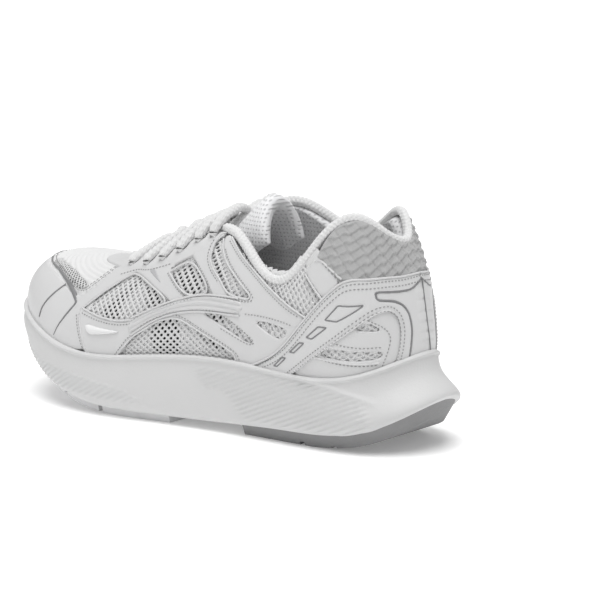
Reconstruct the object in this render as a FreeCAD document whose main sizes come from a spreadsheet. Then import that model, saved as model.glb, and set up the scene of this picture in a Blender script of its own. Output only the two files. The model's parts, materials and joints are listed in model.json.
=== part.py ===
import FreeCAD, Part
# Running shoe for the left foot. x runs to the toe, y to the little-toe side, z up; millimetres.
# The origin is the centre of the footprint, on the ground.
import math
import os

from FreeCAD import Placement, Rotation, Vector

os.makedirs("parts", exist_ok=True)
doc = FreeCAD.newDocument("running_shoe")

# Driving dimensions, all in millimetres or degrees.
SIZES = {
    "sole_length": 300, "sole_width": 110, "outsole_thickness": 4, "heel_rubber": 3.2,
    "outsole_inset": 7, "ground_inset": 8, "ground_trim": 0.3, "groove_depth": 2,
    "groove_width": 3, "lip_width": 3, "footbed_depth": 5.2, "strobel_thickness": 1.2,
    "sockliner_thickness": 4, "sockliner_inset": 7.5, "mesh_thickness": 1.2,
    "lining_thickness": 0.8, "counter_thickness": 1.5, "puff_thickness": 0.8,
    "foam_thickness": 5, "overlay_thickness": 1, "layer_gap": 0.1,
    "binding_radius": 3.6, "lace_width": 5.6, "lace_height": 3.6, "lace_clearance": 0.4,
    "eyelet_diameter": 6.8, "tongue_thickness": 3, "flap_thickness": 7, "flap_face": 1,
    "flap_length": 30, "flap_width": 41, "flap_waist": 34, "flap_round": 11, "flap_angle": 35,
    "hinge_x": -20, "hinge_z": 107, "hinge_gap": 0.8,
    "accent_length": 24, "accent_width": 7, "accent_height": 2,
}
sheet = doc.addObject("Spreadsheet::Sheet", "Sizes")
for line, (word, value) in enumerate(SIZES.items(), start=1):
    sheet.set(f"A{line}", word)
    sheet.set(f"B{line}", str(value))
    sheet.setAlias(f"B{line}", word)
doc.recompute()

# Stations round the shoe, from the middle of the heel (0) to the tip of the toe (12), as design
# points of smooth curves. Columns: x, y on the lateral side, y on the medial side, z.
TOE = 12
HEEL_AGAIN = 24
DESIGN_LENGTH = 300
DESIGN_WIDTH = 110
BITE_LINE = [
    (-139, 0, 0, 52), (-131, 17, -13.5, 47.5), (-118.5, 33.5, -29.5, 40), (-98, 39, -35.5, 36),
    (-70, 39, -37, 37), (-38, 39, -36, 40), (-4, 42, -38, 39), (30, 48, -45, 35),
    (58, 50, -50, 32), (86, 48, -52, 36), (113, 39, -49, 45), (136, 22, -38, 53),
    (148, -8, -8, 56),
]
TOP_LINE = [
    (-124, 0, 0, 105.5), (-120, 11, -8.5, 109), (-109.5, 24.5, -17, 124), (-92, 32.5, -26, 112),
    (-72, 36, -35, 80), (-50, 33, -32, 87), (-28, 25, -24, 113), (5, 16, -16, 101),
    (38, 12, -12, 89), (66, -2, -2, 82), (88, -4, -4, 82), (103, -6, -6, 82),
    (110, -7, -7, 82),
]
# How much higher the top line is on the medial side, by station.
MEDIAL_RISE = {4: 10, 5: 14, 6: 5}
# How each rib of the upper bows: rise and swell at the bite line, run and drop at the top.
RIBS = [
    (.35, 1.2, .80, .30), (.35, 1.8, .85, .30), (.38, 3.5, .90, .30), (.40, 3, .85, .30),
    (.40, 2, .85, .25), (.40, 2, .80, .25), (.45, 2, .75, .20), (.50, 2, .75, .15),
    (.62, 2, .70, .08), (.80, 2.5, .72, .01), (.95, 3, .72, 0), (1.05, 3, .75, 0),
    (1.05, 3, .80, 0),
]
# The widest outline of the sole, and the height of its underside there.
SOLE_LINE = [
    (-153.5, 0, 0, 20), (-146, 25, -22, 13), (-126, 40, -37, 4), (-98, 44, -42, 0),
    (-68, 44, -42, 0), (-38, 44, -41, 0), (-2, 47, -46, 0), (34, 54, -52, 0),
    (62, 56, -56, 1), (92, 51, -55, 8), (120, 38, -49, 20), (143, 16, -37, 31),
    (154, -10, -12, 36),
]


def size(word):
    """A driving dimension, read from the sheet."""
    return float(sheet.get(word))


def spline_weights(part):
    """Weights of the four design points round a place on a uniform cubic spline."""
    rest = 1 - part
    return (rest**3 / 6, (3 * part**3 - 6 * part**2 + 4) / 6,
            (3 * rest**3 - 6 * rest**2 + 4) / 6, part**3 / 6)


def mixed(rows, weights):
    return [sum(w * row[k] for w, row in zip(weights, rows)) for k in range(len(rows[0]))]


def round_shoe(table, place):
    """(x, y, z) of a station table at a place round the shoe, 0 to 24."""
    first = math.floor(place)
    rows = []
    for number in range(first - 1, first + 3):
        number %= HEEL_AGAIN
        lateral = number <= TOE
        x, outer, inner, z = table[number if lateral else HEEL_AGAIN - number]
        if table is TOP_LINE and not lateral:
            z += MEDIAL_RISE.get(HEEL_AGAIN - number, 0)
        rows.append((x, outer if lateral else inner, z))
    x, y, z = mixed(rows, spline_weights(place - first))
    return Vector(x * size("sole_length") / DESIGN_LENGTH, y * size("sole_width") / DESIGN_WIDTH, z)


def eased(value, start, end):
    """0 before start, 1 after end, smooth between them."""
    part = min(1, max(0, (value - start) / (end - start)))
    return part * part * (3 - 2 * part)


def rib(place):
    """Rise, swell, run and drop at a place round the shoe."""
    first = math.floor(place)
    rows = [RIBS[min(n % HEEL_AGAIN, -n % HEEL_AGAIN)] for n in range(first - 1, first + 3)]
    return mixed(rows, spline_weights(place - first))


def outward(table, place):
    """Level unit vector out of an outline."""
    along = round_shoe(table, place + .02) - round_shoe(table, place - .02)
    return Vector(-along.y, along.x, 0).normalize()


def last(place, up):
    """Outer face of the upper: up is 0 at the bite line and 1 at the top line."""
    base, top = round_shoe(BITE_LINE, place), round_shoe(TOP_LINE, place)
    rise, swell, run, drop = rib(place)
    tall = top.z - base.z
    side = outward(BITE_LINE, place)
    low = base + side * swell + Vector(0, 0, rise * tall / 2)
    high = Vector(top.x + (base.x - top.x) * run, top.y + (base.y - top.y) * run,
                  top.z - drop * tall)
    down = 1 - up
    return (base * down**3 + low * (3 * up * down**2)
            + high * (3 * up**2 * down) + top * up**3)


def spot(place, up, out=0.0):
    """A point at a distance outside the face of the upper, or inside it if out is negative."""
    level = min(up, .95)
    step = .01
    along = last(place + step, level) - last(place - step, level)
    rising = last(place, level + step) - last(place, level - step)
    facing = rising.cross(along).normalize()
    ridge = eased(up, .75, 1) * eased(min(place, HEEL_AGAIN - place), 9, 10)
    facing = (facing * (1 - ridge) + Vector(0, 0, ridge)).normalize()
    return last(place, up) + facing * out


def spaced(start, end, count):
    return [start + (end - start) * k / count for k in range(count + 1)]


def knots(count):
    """Knots and their multiplicities for a cubic curve with this many design points."""
    inner = count - 4
    return list(range(inner + 2)), [4, *[1] * inner, 4]


def skin(grid):
    """A smooth surface with a grid of design points."""
    knots_u, repeats_u = knots(len(grid))
    knots_v, repeats_v = knots(len(grid[0]))
    surface = Part.BSplineSurface()
    surface.buildFromPolesMultsKnots(grid, repeats_u, repeats_v, knots_u, knots_v,
                                     False, False, 3, 3)
    return surface


def line_through(points):
    """A smooth edge with a row of design points."""
    places, repeats = knots(len(points))
    curve = Part.BSplineCurve()
    curve.buildFromPolesMultsKnots(points, repeats, places, False, 3)
    return curve.toShape()


def closed_solid(faces):
    """Faces sewn into one solid that faces outward."""
    shell = Part.makeShell(faces)
    shell.sewShape()
    solid = Part.makeSolid(shell)
    if solid.Volume < 0:
        solid.reverse()
    return solid


def slab(outer, inner):
    """A solid between two grids of points, walled along their edges."""
    pair = [skin(outer), skin(inner)]
    faces = [surface.toShape() for surface in pair]
    for number in range(2):
        bounds = pair[0].bounds(), pair[1].bounds()
        rims = [(s.uIso(b[number]).toShape(), s.vIso(b[2 + number]).toShape())
                for s, b in zip(pair, bounds)]
        faces.append(Part.makeRuledSurface(rims[0][0], rims[1][0]))
        faces.append(Part.makeRuledSurface(rims[0][1], rims[1][1]))
    return closed_solid(faces)


def at(value, *place):
    """A number, or a function's value at a place."""
    return value(*place) if callable(value) else value


SETTLING = 6  # rounds that bring a slanted side and a sloping level line to one point


def patch(start, end, low, high, inner, outer, along=None, across=8):
    """A solid on the upper, from inner to outer in depth. Its four sides may be level lines."""
    along = along or max(6, round(abs(at(end, 0) - at(start, 0)) * 4))
    grids = []
    for out in (outer, inner):
        grid = []
        for part in spaced(0, 1, along):
            column = []
            for rise in spaced(0, 1, across):
                up = .3
                for _ in range(SETTLING):
                    place = at(start, up) + (at(end, up) - at(start, up)) * part
                    up = at(low, place) + (at(high, place) - at(low, place)) * rise
                column.append(spot(place, up, at(out, place, up)))
            grid.append(column)
        grids.append(grid)
    return slab(*grids)


def between(*points):
    """A smooth level line from a few (place, level) points."""
    def level(place):
        for (first, low), (last_place, high) in zip(points, points[1:]):
            if place <= last_place:
                return low + (high - low) * eased(place, first, last_place)
        return points[-1][1]
    return level


def mirrored(level):
    """The same level line on the medial side."""
    return lambda place: at(level, HEEL_AGAIN - place)


def turned(place):
    """The same place on the medial side."""
    return lambda level: HEEL_AGAIN - at(place, level)


def add(label, shape):
    """A free-form piece as an object of the document."""
    piece = doc.addObject("Part::Feature", label)
    piece.Label = label
    piece.Shape = shape
    piece.Placement = Placement()
    pieces.append(piece)
    return piece


def sketched_body(name, edges, length):
    """A body of one sketch on its own XY plane, padded to a length from the Sizes sheet."""
    body = doc.addObject("PartDesign::Body", name)
    sketch = body.newObject("Sketcher::SketchObject", name + "_sketch")
    plane = [f for f in body.Origin.OriginFeatures if f.Role == "XY_Plane"][0]
    sketch.AttachmentSupport = [(plane, "")]
    sketch.MapMode = "FlatFace"
    for edge in edges:
        sketch.addGeometry(edge)
    pad = body.newObject("PartDesign::Pad", name + "_pad")
    pad.Profile = sketch
    pad.setExpression("Length", length)
    return body


def line_loop(corners):
    return [Part.LineSegment(a, b) for a, b in zip(corners, corners[1:] + corners[:1])]


def add_pair(name, start, end, low, high, inner, outer, **steps):
    """The lateral patch and its medial twin."""
    add(name + "_lateral", patch(start, end, low, high, inner, outer, **steps))
    add(name + "_medial", patch(turned(end), turned(start), mirrored(low), mirrored(high),
                                inner, outer, **steps))


# ---- sole ----------------------------------------------------------------------------------

def heel_share(place):
    """How much of the heel's extra rubber a place has: most at the very back."""
    reach = min(place % HEEL_AGAIN, -place % HEEL_AGAIN)
    return 2 - eased(reach, 3.5, 6) - eased(reach, 0, 2.5)


def rubber_depth(place):
    return size("outsole_thickness") + size("heel_rubber") * heel_share(place)


def rubber_inset(place):
    return size("outsole_inset") - size("heel_rubber") * .85 * heel_share(place)


def wall_points(place):
    """Design points of the midsole wall, from its bottom edge up to the lip."""
    sole, bite = round_shoe(SOLE_LINE, place), round_shoe(BITE_LINE, place)
    out, lip = outward(SOLE_LINE, place), outward(BITE_LINE, place) * size("lip_width")
    tall = bite.z - sole.z
    low, inset = rubber_depth(place), rubber_inset(place)
    return [
        sole - out * inset + Vector(0, 0, low),
        sole - out * inset * .2 + Vector(0, 0, low + 1),
        sole + Vector(0, 0, .42 * tall),
        bite + lip * 1.6 + Vector(0, 0, -.32 * tall),
        bite + lip + Vector(0, 0, -3),
        bite + lip + Vector(0, 0, .8),
    ]


def along_points(points, part):
    """A place on the smooth curve that starts at the first point and ends at the last."""
    ends = [points[0] * 2 - points[1], *points, points[-1] * 2 - points[-2]]
    first = min(int(part * (len(points) - 1)), len(points) - 2)
    total = Vector()
    for weight, point in zip(spline_weights(part * (len(points) - 1) - first), ends[first:]):
        total += point * weight
    return total


def half_places(side, count=44):
    """Places from the heel to the toe along one side."""
    ends = (0, TOE) if side > 0 else (HEEL_AGAIN, TOE)
    return spaced(*ends, count)


def ring(inset, rise):
    """Lateral and medial edges that follow the bite line inside it."""
    return [line_through([round_shoe(BITE_LINE, v) - outward(BITE_LINE, v) * inset
                          + Vector(0, 0, rise) for v in half_places(side)]) for side in (1, -1)]


def sole_edge(inset, rise):
    """The same along the sole; inset and rise are functions of the place."""
    return [line_through([round_shoe(SOLE_LINE, v) - outward(SOLE_LINE, v) * inset(v)
                          + Vector(0, 0, rise(v)) for v in half_places(side)])
            for side in (1, -1)]


def plate(lower, upper):
    """A solid between two pairs of edges that meet at the heel and the toe."""
    faces = [Part.makeRuledSurface(*lower), Part.makeRuledSurface(*upper)]
    faces += [Part.makeRuledSurface(a, b) for a, b in zip(lower, upper)]
    return closed_solid(faces)


def midsole():
    """One foam block: a shaped wall, a lip round the upper and a sunken bed for the foot."""
    bottom, top, faces = [], [], []
    for side in (1, -1):
        grid = []
        for place in half_places(side):
            points = wall_points(place)
            grid.append([along_points(points, s) for s in spaced(0, 1, 15)])
        wall = skin(grid)
        faces.append(wall.toShape())
        bottom.append(wall.vIso(wall.bounds()[2]).toShape())
        top.append(wall.vIso(wall.bounds()[3]).toShape())
    rim, bed = ring(-.3, .8), ring(-.3, -size("footbed_depth"))
    faces += [Part.makeRuledSurface(a, b) for a, b in zip(top, rim)]
    faces += [Part.makeRuledSurface(a, b) for a, b in zip(rim, bed)]
    faces += [Part.makeRuledSurface(*bed), Part.makeRuledSurface(*bottom)]
    return closed_solid(faces)


def add_sole():
    add("midsole", midsole())
    bed = -size("footbed_depth") + size("layer_gap")
    board = bed + size("strobel_thickness")
    add("strobel_board", plate(ring(3.4, bed), ring(3.4, board)))
    inset = size("sockliner_inset")
    low = board + size("layer_gap") * 3
    add("sockliner", plate(ring(inset, low), ring(inset, low + size("sockliner_thickness"))))


# Outsole pads in plan: corners of each, on the lateral side and on the medial side.
PADS = {
    "outsole_forefoot_lateral_front": [(114, 4), (84, 4), (84, 70), (114, 70)],
    "outsole_forefoot_lateral_middle": [(81, 6), (54, 6), (54, 70), (81, 70)],
    "outsole_forefoot_lateral_rear": [(51, 8), (6, 16), (6, 70), (51, 70)],
    "outsole_forefoot_medial_front": [(114, -2), (84, -2), (84, -70), (114, -70)],
    "outsole_forefoot_medial_middle": [(81, 0), (54, 0), (54, -70), (81, -70)],
    "outsole_forefoot_medial_rear": [(51, 2), (6, -12), (6, -70), (51, -70)],
    "outsole_toe": [(117, 60), (160, 60), (160, -70), (117, -70)],
    "outsole_heel": [(-44, 70), (-160, 70), (-160, -70), (-60, -70), (-60, -16), (-112, -9),
                     (-112, 9), (-44, 18)],
}


def add_prism(name, corners):
    """A sketched outline, padded upward from the ground through the whole rubber layer."""
    corners = [Vector(x, y, 0) for x, y in corners]
    return sketched_body(name + "_outline", line_loop(corners), "Sizes.outsole_thickness * 12")


def add_groove(name, x, angle):
    """A box across the pad's underside, sunk to the groove depth."""
    box = doc.addObject("Part::Box", name)
    box.setExpression("Length", "Sizes.groove_width")
    box.setExpression("Width", "Sizes.sole_width")
    box.setExpression("Height", "Sizes.groove_depth * 2")
    corner = Vector(x, -size("sole_width") / 2, -size("groove_depth"))
    box.Placement = Placement(corner, Rotation(Vector(0, 0, 1), angle))
    return box


def add_outsole():
    """The rubber layer under the midsole, cut into pads, with grooves across the heel pad."""
    layer = doc.addObject("Part::Feature", "outsole_layer")
    ground = sole_edge(lambda v: size("ground_inset"), lambda v: -size("ground_trim"))
    layer.Shape = plate(ground, sole_edge(rubber_inset, rubber_depth))
    for name, corners in PADS.items():
        pad = doc.addObject("Part::Common", name)
        pad.Base = layer
        pad.Tool = add_prism(name, corners)
        if name != "outsole_heel":
            pad.Label = name
            pieces.append(pad)
            continue
        pad.Label = "outsole_heel_plain"
        grooves = [add_groove(f"heel_groove_{n}", x, 8) for n, x in enumerate((-112, -92, -72))]
        cutter = doc.addObject("Part::MultiFuse", "heel_grooves")
        cutter.Shapes = grooves
        heel = doc.addObject("Part::Cut", "outsole_heel_grooved")
        heel.Base = pad
        heel.Tool = cutter
        heel.Label = name
        pieces.append(heel)


# ---- upper ---------------------------------------------------------------------------------

# Level lines of the upper, as (place, level) points on the lateral side.
BOTTOM = -.08
FOOT = .035
CAP_TOP = between((8.1, .36), (8.7, .44), (10, .56), (12, .57))
BAND_TOP = between((4.95, .64), (5.76, .52), (6.64, .38), (7.0, .32))
BAND_FOOT = between((4.95, .52), (5.8, .40), (6.64, .29), (7.0, .20))
COLLAR_EDGE = between((6.2, .95), (6.9, 1))
EYESTAY_TOP = between((6.1, .95), (6.8, .99))
EYESTAY_FOOT = between((6.1, .83), (6.7, .75), (7.6, .70), (8.3, .74), (9.4, .84))


def slanted(*points):
    """A place that shifts with the level, from a few (level, place) points."""
    return between(*points)


STRAP_REAR = slanted((0, 3.76), (.22, 3.20), (.37, 2.30), (.66, 1.30))
STRAP_FRONT = slanted((0, 4.61), (.30, 3.95), (.52, 3.33), (.66, 2.35))


def mesh_and_linings():
    mesh, gap = size("mesh_thickness"), size("layer_gap")
    lining, counter = size("lining_thickness"), size("counter_thickness")
    puff = size("puff_thickness")
    add_pair("quarter_mesh", 0, 6.98, BOTTOM, COLLAR_EDGE, -mesh, 0, across=12)
    add("heel_counter", patch(-3.2, 3.2, BOTTOM, .5, -mesh - gap - counter, -mesh - gap))
    add("toe_puff", patch(10.6, 13.4, BOTTOM, .55, -mesh - gap * 3 - puff, -mesh - gap * 3,
                          along=17, across=5))
    behind = mesh + counter + gap * 2

    def foam_depth(place, up):
        around = min(place % HEEL_AGAIN, -place % HEEL_AGAIN)
        full = eased(up, .2, .62) * (1 - eased(around, 4.6, 6.2))
        return behind + .8 + size("foam_thickness") * full

    add("collar_padding", patch(-6.2, 6.2, .12, .93, lambda v, t: -foam_depth(v, t), -behind,
                                along=44, across=10))
    add("heel_lining", patch(-6.9, 6.9, BOTTOM, .93,
                             lambda v, t: -foam_depth(v, t) - gap - lining,
                             lambda v, t: -foam_depth(v, t) - gap, along=44, across=10))


def half_skins(side, out, low, high, cut):
    """Faces of one half of the vamp at one depth, on both sides of the place cut."""
    faces = []
    for start, end in ((7, cut), (cut, TOE)):
        grid = [[spot(v if side > 0 else HEEL_AGAIN - v, up, out) for up in spaced(low, high, 9)]
                for v in spaced(start, end, 12)]
        faces.append(skin(grid))
    return faces


def vamp(inner, outer):
    """The forefoot sheet in one piece: its halves join over the toes, ahead of the throat."""
    faces = []
    for side in (1, -1):
        rear, front = half_skins(side, outer, BOTTOM, 1, 10)
        rear_in, front_in = half_skins(side, inner, BOTTOM, 1, 10)
        faces += [s.toShape() for s in (rear, front, rear_in, front_in)]
        for a, b in ((rear, rear_in), (front, front_in)):
            low = [s.vIso(s.bounds()[2]).toShape() for s in (a, b)]
            faces.append(Part.makeRuledSurface(*low))
        ends = [s.uIso(s.bounds()[0]).toShape() for s in (rear, rear_in)]
        throat = [s.vIso(s.bounds()[3]).toShape() for s in (rear, rear_in)]
        faces += [Part.makeRuledSurface(*ends), Part.makeRuledSurface(*throat)]
    return closed_solid(faces)


def add_vamp():
    mesh, gap, lining = size("mesh_thickness"), size("layer_gap"), size("lining_thickness")
    add("vamp_mesh", vamp(-mesh, 0))
    behind = mesh + size("puff_thickness") + gap * 6
    add("vamp_lining", vamp(-behind - lining, -behind))


def strut_foot(place):
    """Level where the struts stand on the side band or on the toe cap."""
    cap = CAP_TOP(place) + .012 if place > 8.05 else 0
    return max(.37, BAND_TOP(place) + .01, cap)


def add_overlays():
    low = size("layer_gap")
    high = low + size("overlay_thickness")
    add("toe_cap", patch(8.12, HEEL_AGAIN - 8.12, FOOT,
                         lambda v: CAP_TOP(min(v, HEEL_AGAIN - v)), low, high, along=36))
    add_pair("mudguard", 7.04, 8.08, FOOT, between((7.04, .20), (7.5, .27), (8.08, .34)),
             low, high)
    add_pair("side_band", 4.95, 7.0, BAND_FOOT, BAND_TOP, low, high, along=14)
    add_eyestay(1, "eyestay_lateral", low, high)
    add_eyestay(-1, "eyestay_medial", low, high)
    add_accent(1, "accent_lateral")
    add_accent(-1, "accent_medial")
    trim = slanted((.04, 9.05), (.28, 8.78), (.40, 8.68))
    add_pair("toe_trim", lambda t: trim(t) + .02, lambda t: trim(t) + .12, .04, .40,
             high + low, high + low + .5)
    struts = {
        "vamp_strut": (slanted((.3, 8.35), (.75, 7.6)), slanted((.3, 8.6), (.75, 8.25))),
        "front_strut": (slanted((.4, 6.10), (.7, 6.60)), slanted((.4, 6.42), (.7, 7.30))),
        "rear_strut": (slanted((.5, 5.30), (.8, 5.92)), slanted((.5, 5.60), (.8, 6.25))),
    }
    for name, (rear, front) in struts.items():
        add_pair(name, rear, front, strut_foot,
                 lambda v: EYESTAY_FOOT(v) - .01, low, high)
    add_pair("quarter_strap", STRAP_REAR, STRAP_FRONT, FOOT, .65, low, high,
             across=20, along=12)
    add_pair("heel_patch", 1.05, lambda t: STRAP_REAR(t) - .06, FOOT, .42, low, high, across=10)
    add_pair("heel_stay", .12, .98, FOOT, .53, low, high)
    add_pair("heel_cross_band", .12, 1.30, .55, .67, low, high)
    add_pair("rear_quarter_patch", slanted((.66, 2.5), (.86, 3.05)),
             slanted((.66, 2.95), (.86, 3.42)), .68, .85, low, high)
    add("heel_tab", patch(-2.4, 2.4, .70, .95, low, high, along=20))


# ---- collar, tongue and lace ----------------------------------------------------------------

def tube(points, widths, height=1.0):
    """A smooth tube through points. Each width is across the run; height is a share of it."""
    sections = []
    for number, (point, width) in enumerate(zip(points, widths)):
        ahead = points[min(number + 1, len(points) - 1)]
        run = (ahead - points[max(number - 1, 0)]).normalize()
        level = run.cross(Vector(0, 0, 1)).normalize()
        raised = level.cross(run)
        ring_points = [point + level * (width / 2 * math.cos(turn * math.pi / 6))
                       + raised * (width / 2 * height * math.sin(turn * math.pi / 6))
                       for turn in range(12)]
        curve = Part.BSplineCurve()
        curve.interpolate(Points=ring_points, PeriodicFlag=True)
        sections.append(Part.Wire([curve.toShape()]))
    return Part.makeLoft(sections, True)


def smooth_route(points, count):
    """Evenly spread points on the smooth curve that starts and ends at the given ones."""
    return [along_points(points, part) for part in spaced(0, 1, count)]


def add_binding():
    """The round knitted edge of the collar, thicker at its front ends."""
    radius = size("binding_radius")
    points, widths = [], []
    for place in spaced(-6.0, 6.0, 48):
        points.append(spot(place, 1, -2.4) + Vector(0, 0, .45 * radius))
        widths.append(2 * radius * (.86 + .14 * eased(abs(place), 3, 6)))
    add("collar_binding", tube(points, widths))


# Middle line of the tongue's face from the throat to the fold, as (x, z).
TONGUE_LINE = [(82, 76.5), (62, 78), (40, 86.5), (18, 94.8), (2, 100), (-12, 104.5)]
TONGUE_ARCH = .019


def tongue_base():
    """The thin sheet under the lace, arched across and sewn in at the throat."""
    fold = Vector(size("hinge_x"), 0, size("hinge_z"))
    slope = math.radians(size("flap_angle"))
    front = fold + Vector(math.cos(slope), 0, -math.sin(slope)) * size("hinge_gap")
    line = [Vector(x, 0, z) for x, z in TONGUE_LINE] + [front]
    grids = []
    for depth in (0, -size("tongue_thickness")):
        grid = []
        for point in smooth_route(line, 20):
            half = 9 + 12 * eased(-point.x, -75, 5)
            grid.append([Vector(point.x, y, point.z - TONGUE_ARCH * y * y + depth)
                         for y in spaced(-half, half, 8)])
        grids.append(grid)
    return slab(*grids)


def flap_placement(lift):
    """Lays a flap piece along the flap's slope, lift above its middle plane."""
    slope = math.radians(size("flap_angle"))
    rearward = Vector(-math.cos(slope), 0, math.sin(slope))
    face = Vector(math.sin(slope), 0, math.cos(slope))
    fold = Vector(size("hinge_x"), 0, size("hinge_z"))
    return Placement(fold + rearward * size("hinge_gap") + face * lift,
                     Rotation(rearward, Vector(0, -1, 0), face, "ZXY"))


def add_flap_layer(name, thickness, lift):
    """One layer of the flap, cut from sheet: straight at the fold and round at its free end."""
    long, half, waist = size("flap_length"), size("flap_width") / 2, size("flap_waist") / 2
    shoulder = long - size("flap_round")
    right = [Vector(0, waist - 1), Vector(shoulder / 2, waist + .5), Vector(shoulder, half)]
    left = [Vector(point.x, -point.y) for point in reversed(right)]
    outline = left + right
    edges = [Part.Arc(right[-1], Vector(long, 0), left[0])]
    edges += [Part.LineSegment(a, b) for a, b in zip(outline, outline[1:])]
    body = sketched_body(name, edges, thickness)
    body.Placement = flap_placement(lift)
    pieces.append(body)


def add_tongue():
    face, gap, padding = size("flap_face"), size("layer_gap"), size("flap_thickness")
    add("tongue_base", tongue_base())
    add_flap_layer("tongue_flap_padding", "Sizes.flap_thickness", -padding / 2)
    add_flap_layer("tongue_flap_face", "Sizes.flap_face", padding / 2 + gap)
    add_flap_layer("tongue_flap_lining", "Sizes.flap_face", -padding / 2 - gap - face)


# Eyelets from the throat to the collar, as (place, level) on the lateral side.
EYELETS = [(8.55, .90), (8.15, .90), (7.72, .91), (7.32, .92), (6.92, .92), (6.52, .92)]
LACE_SPREAD = 1.5
LACE_TIP = 1.6
LACE_STEPS = 24
ACCENT = (7.62, .20)


def eyelet(side, number, out, shift=0.0):
    place, up = EYELETS[number]
    hole = spot(place if side > 0 else HEEL_AGAIN - place, up, out)
    return hole + Vector(shift, 0, 0)


def lace_strand(side, first, last_hole, lift):
    """One run of lace from an eyelet, over the tongue, to an eyelet on the other side."""
    resting = (size("overlay_thickness") + size("layer_gap") + 5 * size("lace_clearance")
               + size("lace_height") / 2)
    back = -LACE_SPREAD if last_hole > first else LACE_SPREAD
    start, end = eyelet(side, first, resting, back), eyelet(-side, last_hole, resting, LACE_SPREAD)
    middle = (start + end) * .5
    ground = tongue_height(middle.x) + size("lace_height") / 2 + size("lace_clearance")
    crown = max(ground, (start.z + end.z) / 2 + 1.5) + lift
    points = [
        eyelet(side, first, 2, back), start,
        start * .72 + end * .28 + Vector(0, 0, (crown - middle.z) * .75),
        Vector(middle.x, middle.y, crown),
        start * .28 + end * .72 + Vector(0, 0, (crown - middle.z) * .75),
        end, eyelet(-side, last_hole, 2, LACE_SPREAD),
    ]
    route = smooth_route(points, LACE_STEPS)
    share = [eased(min(k, LACE_STEPS - k), -1, 5) for k in range(LACE_STEPS + 1)]
    widths = [LACE_TIP + (size("lace_width") - LACE_TIP) * part for part in share]
    return tube(route, widths, size("lace_height") / size("lace_width"))


def tongue_height(x):
    """Height of the tongue's middle line."""
    route = smooth_route([Vector(a, 0, b) for a, b in TONGUE_LINE], 40)
    return min(route, key=lambda point: abs(point.x - x)).z


def add_lace():
    """One lace: a bar at the bottom, then crossings up to the collar."""
    strands = [lace_strand(1, 0, 0, 0)]
    over = size("lace_height") + size("lace_clearance")
    for number in range(len(EYELETS) - 1):
        strands.append(lace_strand(1, number, number + 1, 0))
        strands.append(lace_strand(-1, number, number + 1, over))
    add("lace", Part.makeCompound(strands))


def add_eyestay(side, name, low, high):
    """The reinforcement along the throat, punched for the lace."""
    ends = (6.1, 9.4) if side > 0 else (HEEL_AGAIN - 9.4, HEEL_AGAIN - 6.1)
    foot = EYESTAY_FOOT if side > 0 else mirrored(EYESTAY_FOOT)
    head = EYESTAY_TOP if side > 0 else mirrored(EYESTAY_TOP)
    plain = doc.addObject("Part::Feature", name + "_plain")
    plain.Shape = patch(*ends, foot, head, low, high, along=16)
    punches = []
    for number in range(len(EYELETS)):
        punch = doc.addObject("Part::Cylinder", f"{name}_punch_{number}")
        punch.setExpression("Radius", "Sizes.eyelet_diameter / 2")
        punch.Height = 6
        below, above = eyelet(side, number, -3), eyelet(side, number, 3)
        punch.Placement = Placement(below, Rotation(Vector(0, 0, 1), above - below))
        punches.append(punch)
    cutter = doc.addObject("Part::MultiFuse", name + "_punches")
    cutter.Shapes = punches
    punched = doc.addObject("Part::Cut", name)
    punched.Base = plain
    punched.Tool = cutter
    pieces.append(punched)


def add_accent(side, name):
    """A tapered puffy mark on the mudguard: a sketched wedge, padded and laid on its face."""
    long, half = size("accent_length") / 2, size("accent_width") / 2
    corners = [Vector(-long, -half), Vector(long, -half * .3), Vector(long, half),
               Vector(-long, half)]
    body = sketched_body(name, line_loop(corners), "Sizes.accent_height")
    place, up = ACCENT if side > 0 else (HEEL_AGAIN - ACCENT[0], ACCENT[1])
    under = spot(place, up, size("overlay_thickness") + 3 * size("layer_gap"))
    out = (spot(place, up, 5) - spot(place, up)).normalize()
    forward = (spot(place + .1 * side, up) - spot(place - .1 * side, up)).normalize()
    body.Placement = Placement(under, Rotation(forward, out.cross(forward), out, "ZXY"))
    pieces.append(body)


pieces = []
add_sole()
add_outsole()
mesh_and_linings()
add_vamp()
add_overlays()
add_binding()
add_tongue()
add_lace()
doc.recompute()

for item in doc.Objects:
    if {"Invalid", "Error"} & set(item.State):
        raise RuntimeError(f"{item.Label} did not rebuild: {item.State}")
for piece in pieces:
    shape = piece.Shape
    if shape.isNull() or not shape.isValid():
        raise RuntimeError(f"{piece.Label} has no valid shape")
    print(piece.Label, round(shape.Volume), len(shape.Solids))
for piece in pieces:
    piece.Shape.exportStep(f"parts/{piece.Label}.step")
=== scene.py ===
import json
import math

import bpy
import numpy as np
from mathutils import Matrix, Vector

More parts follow.
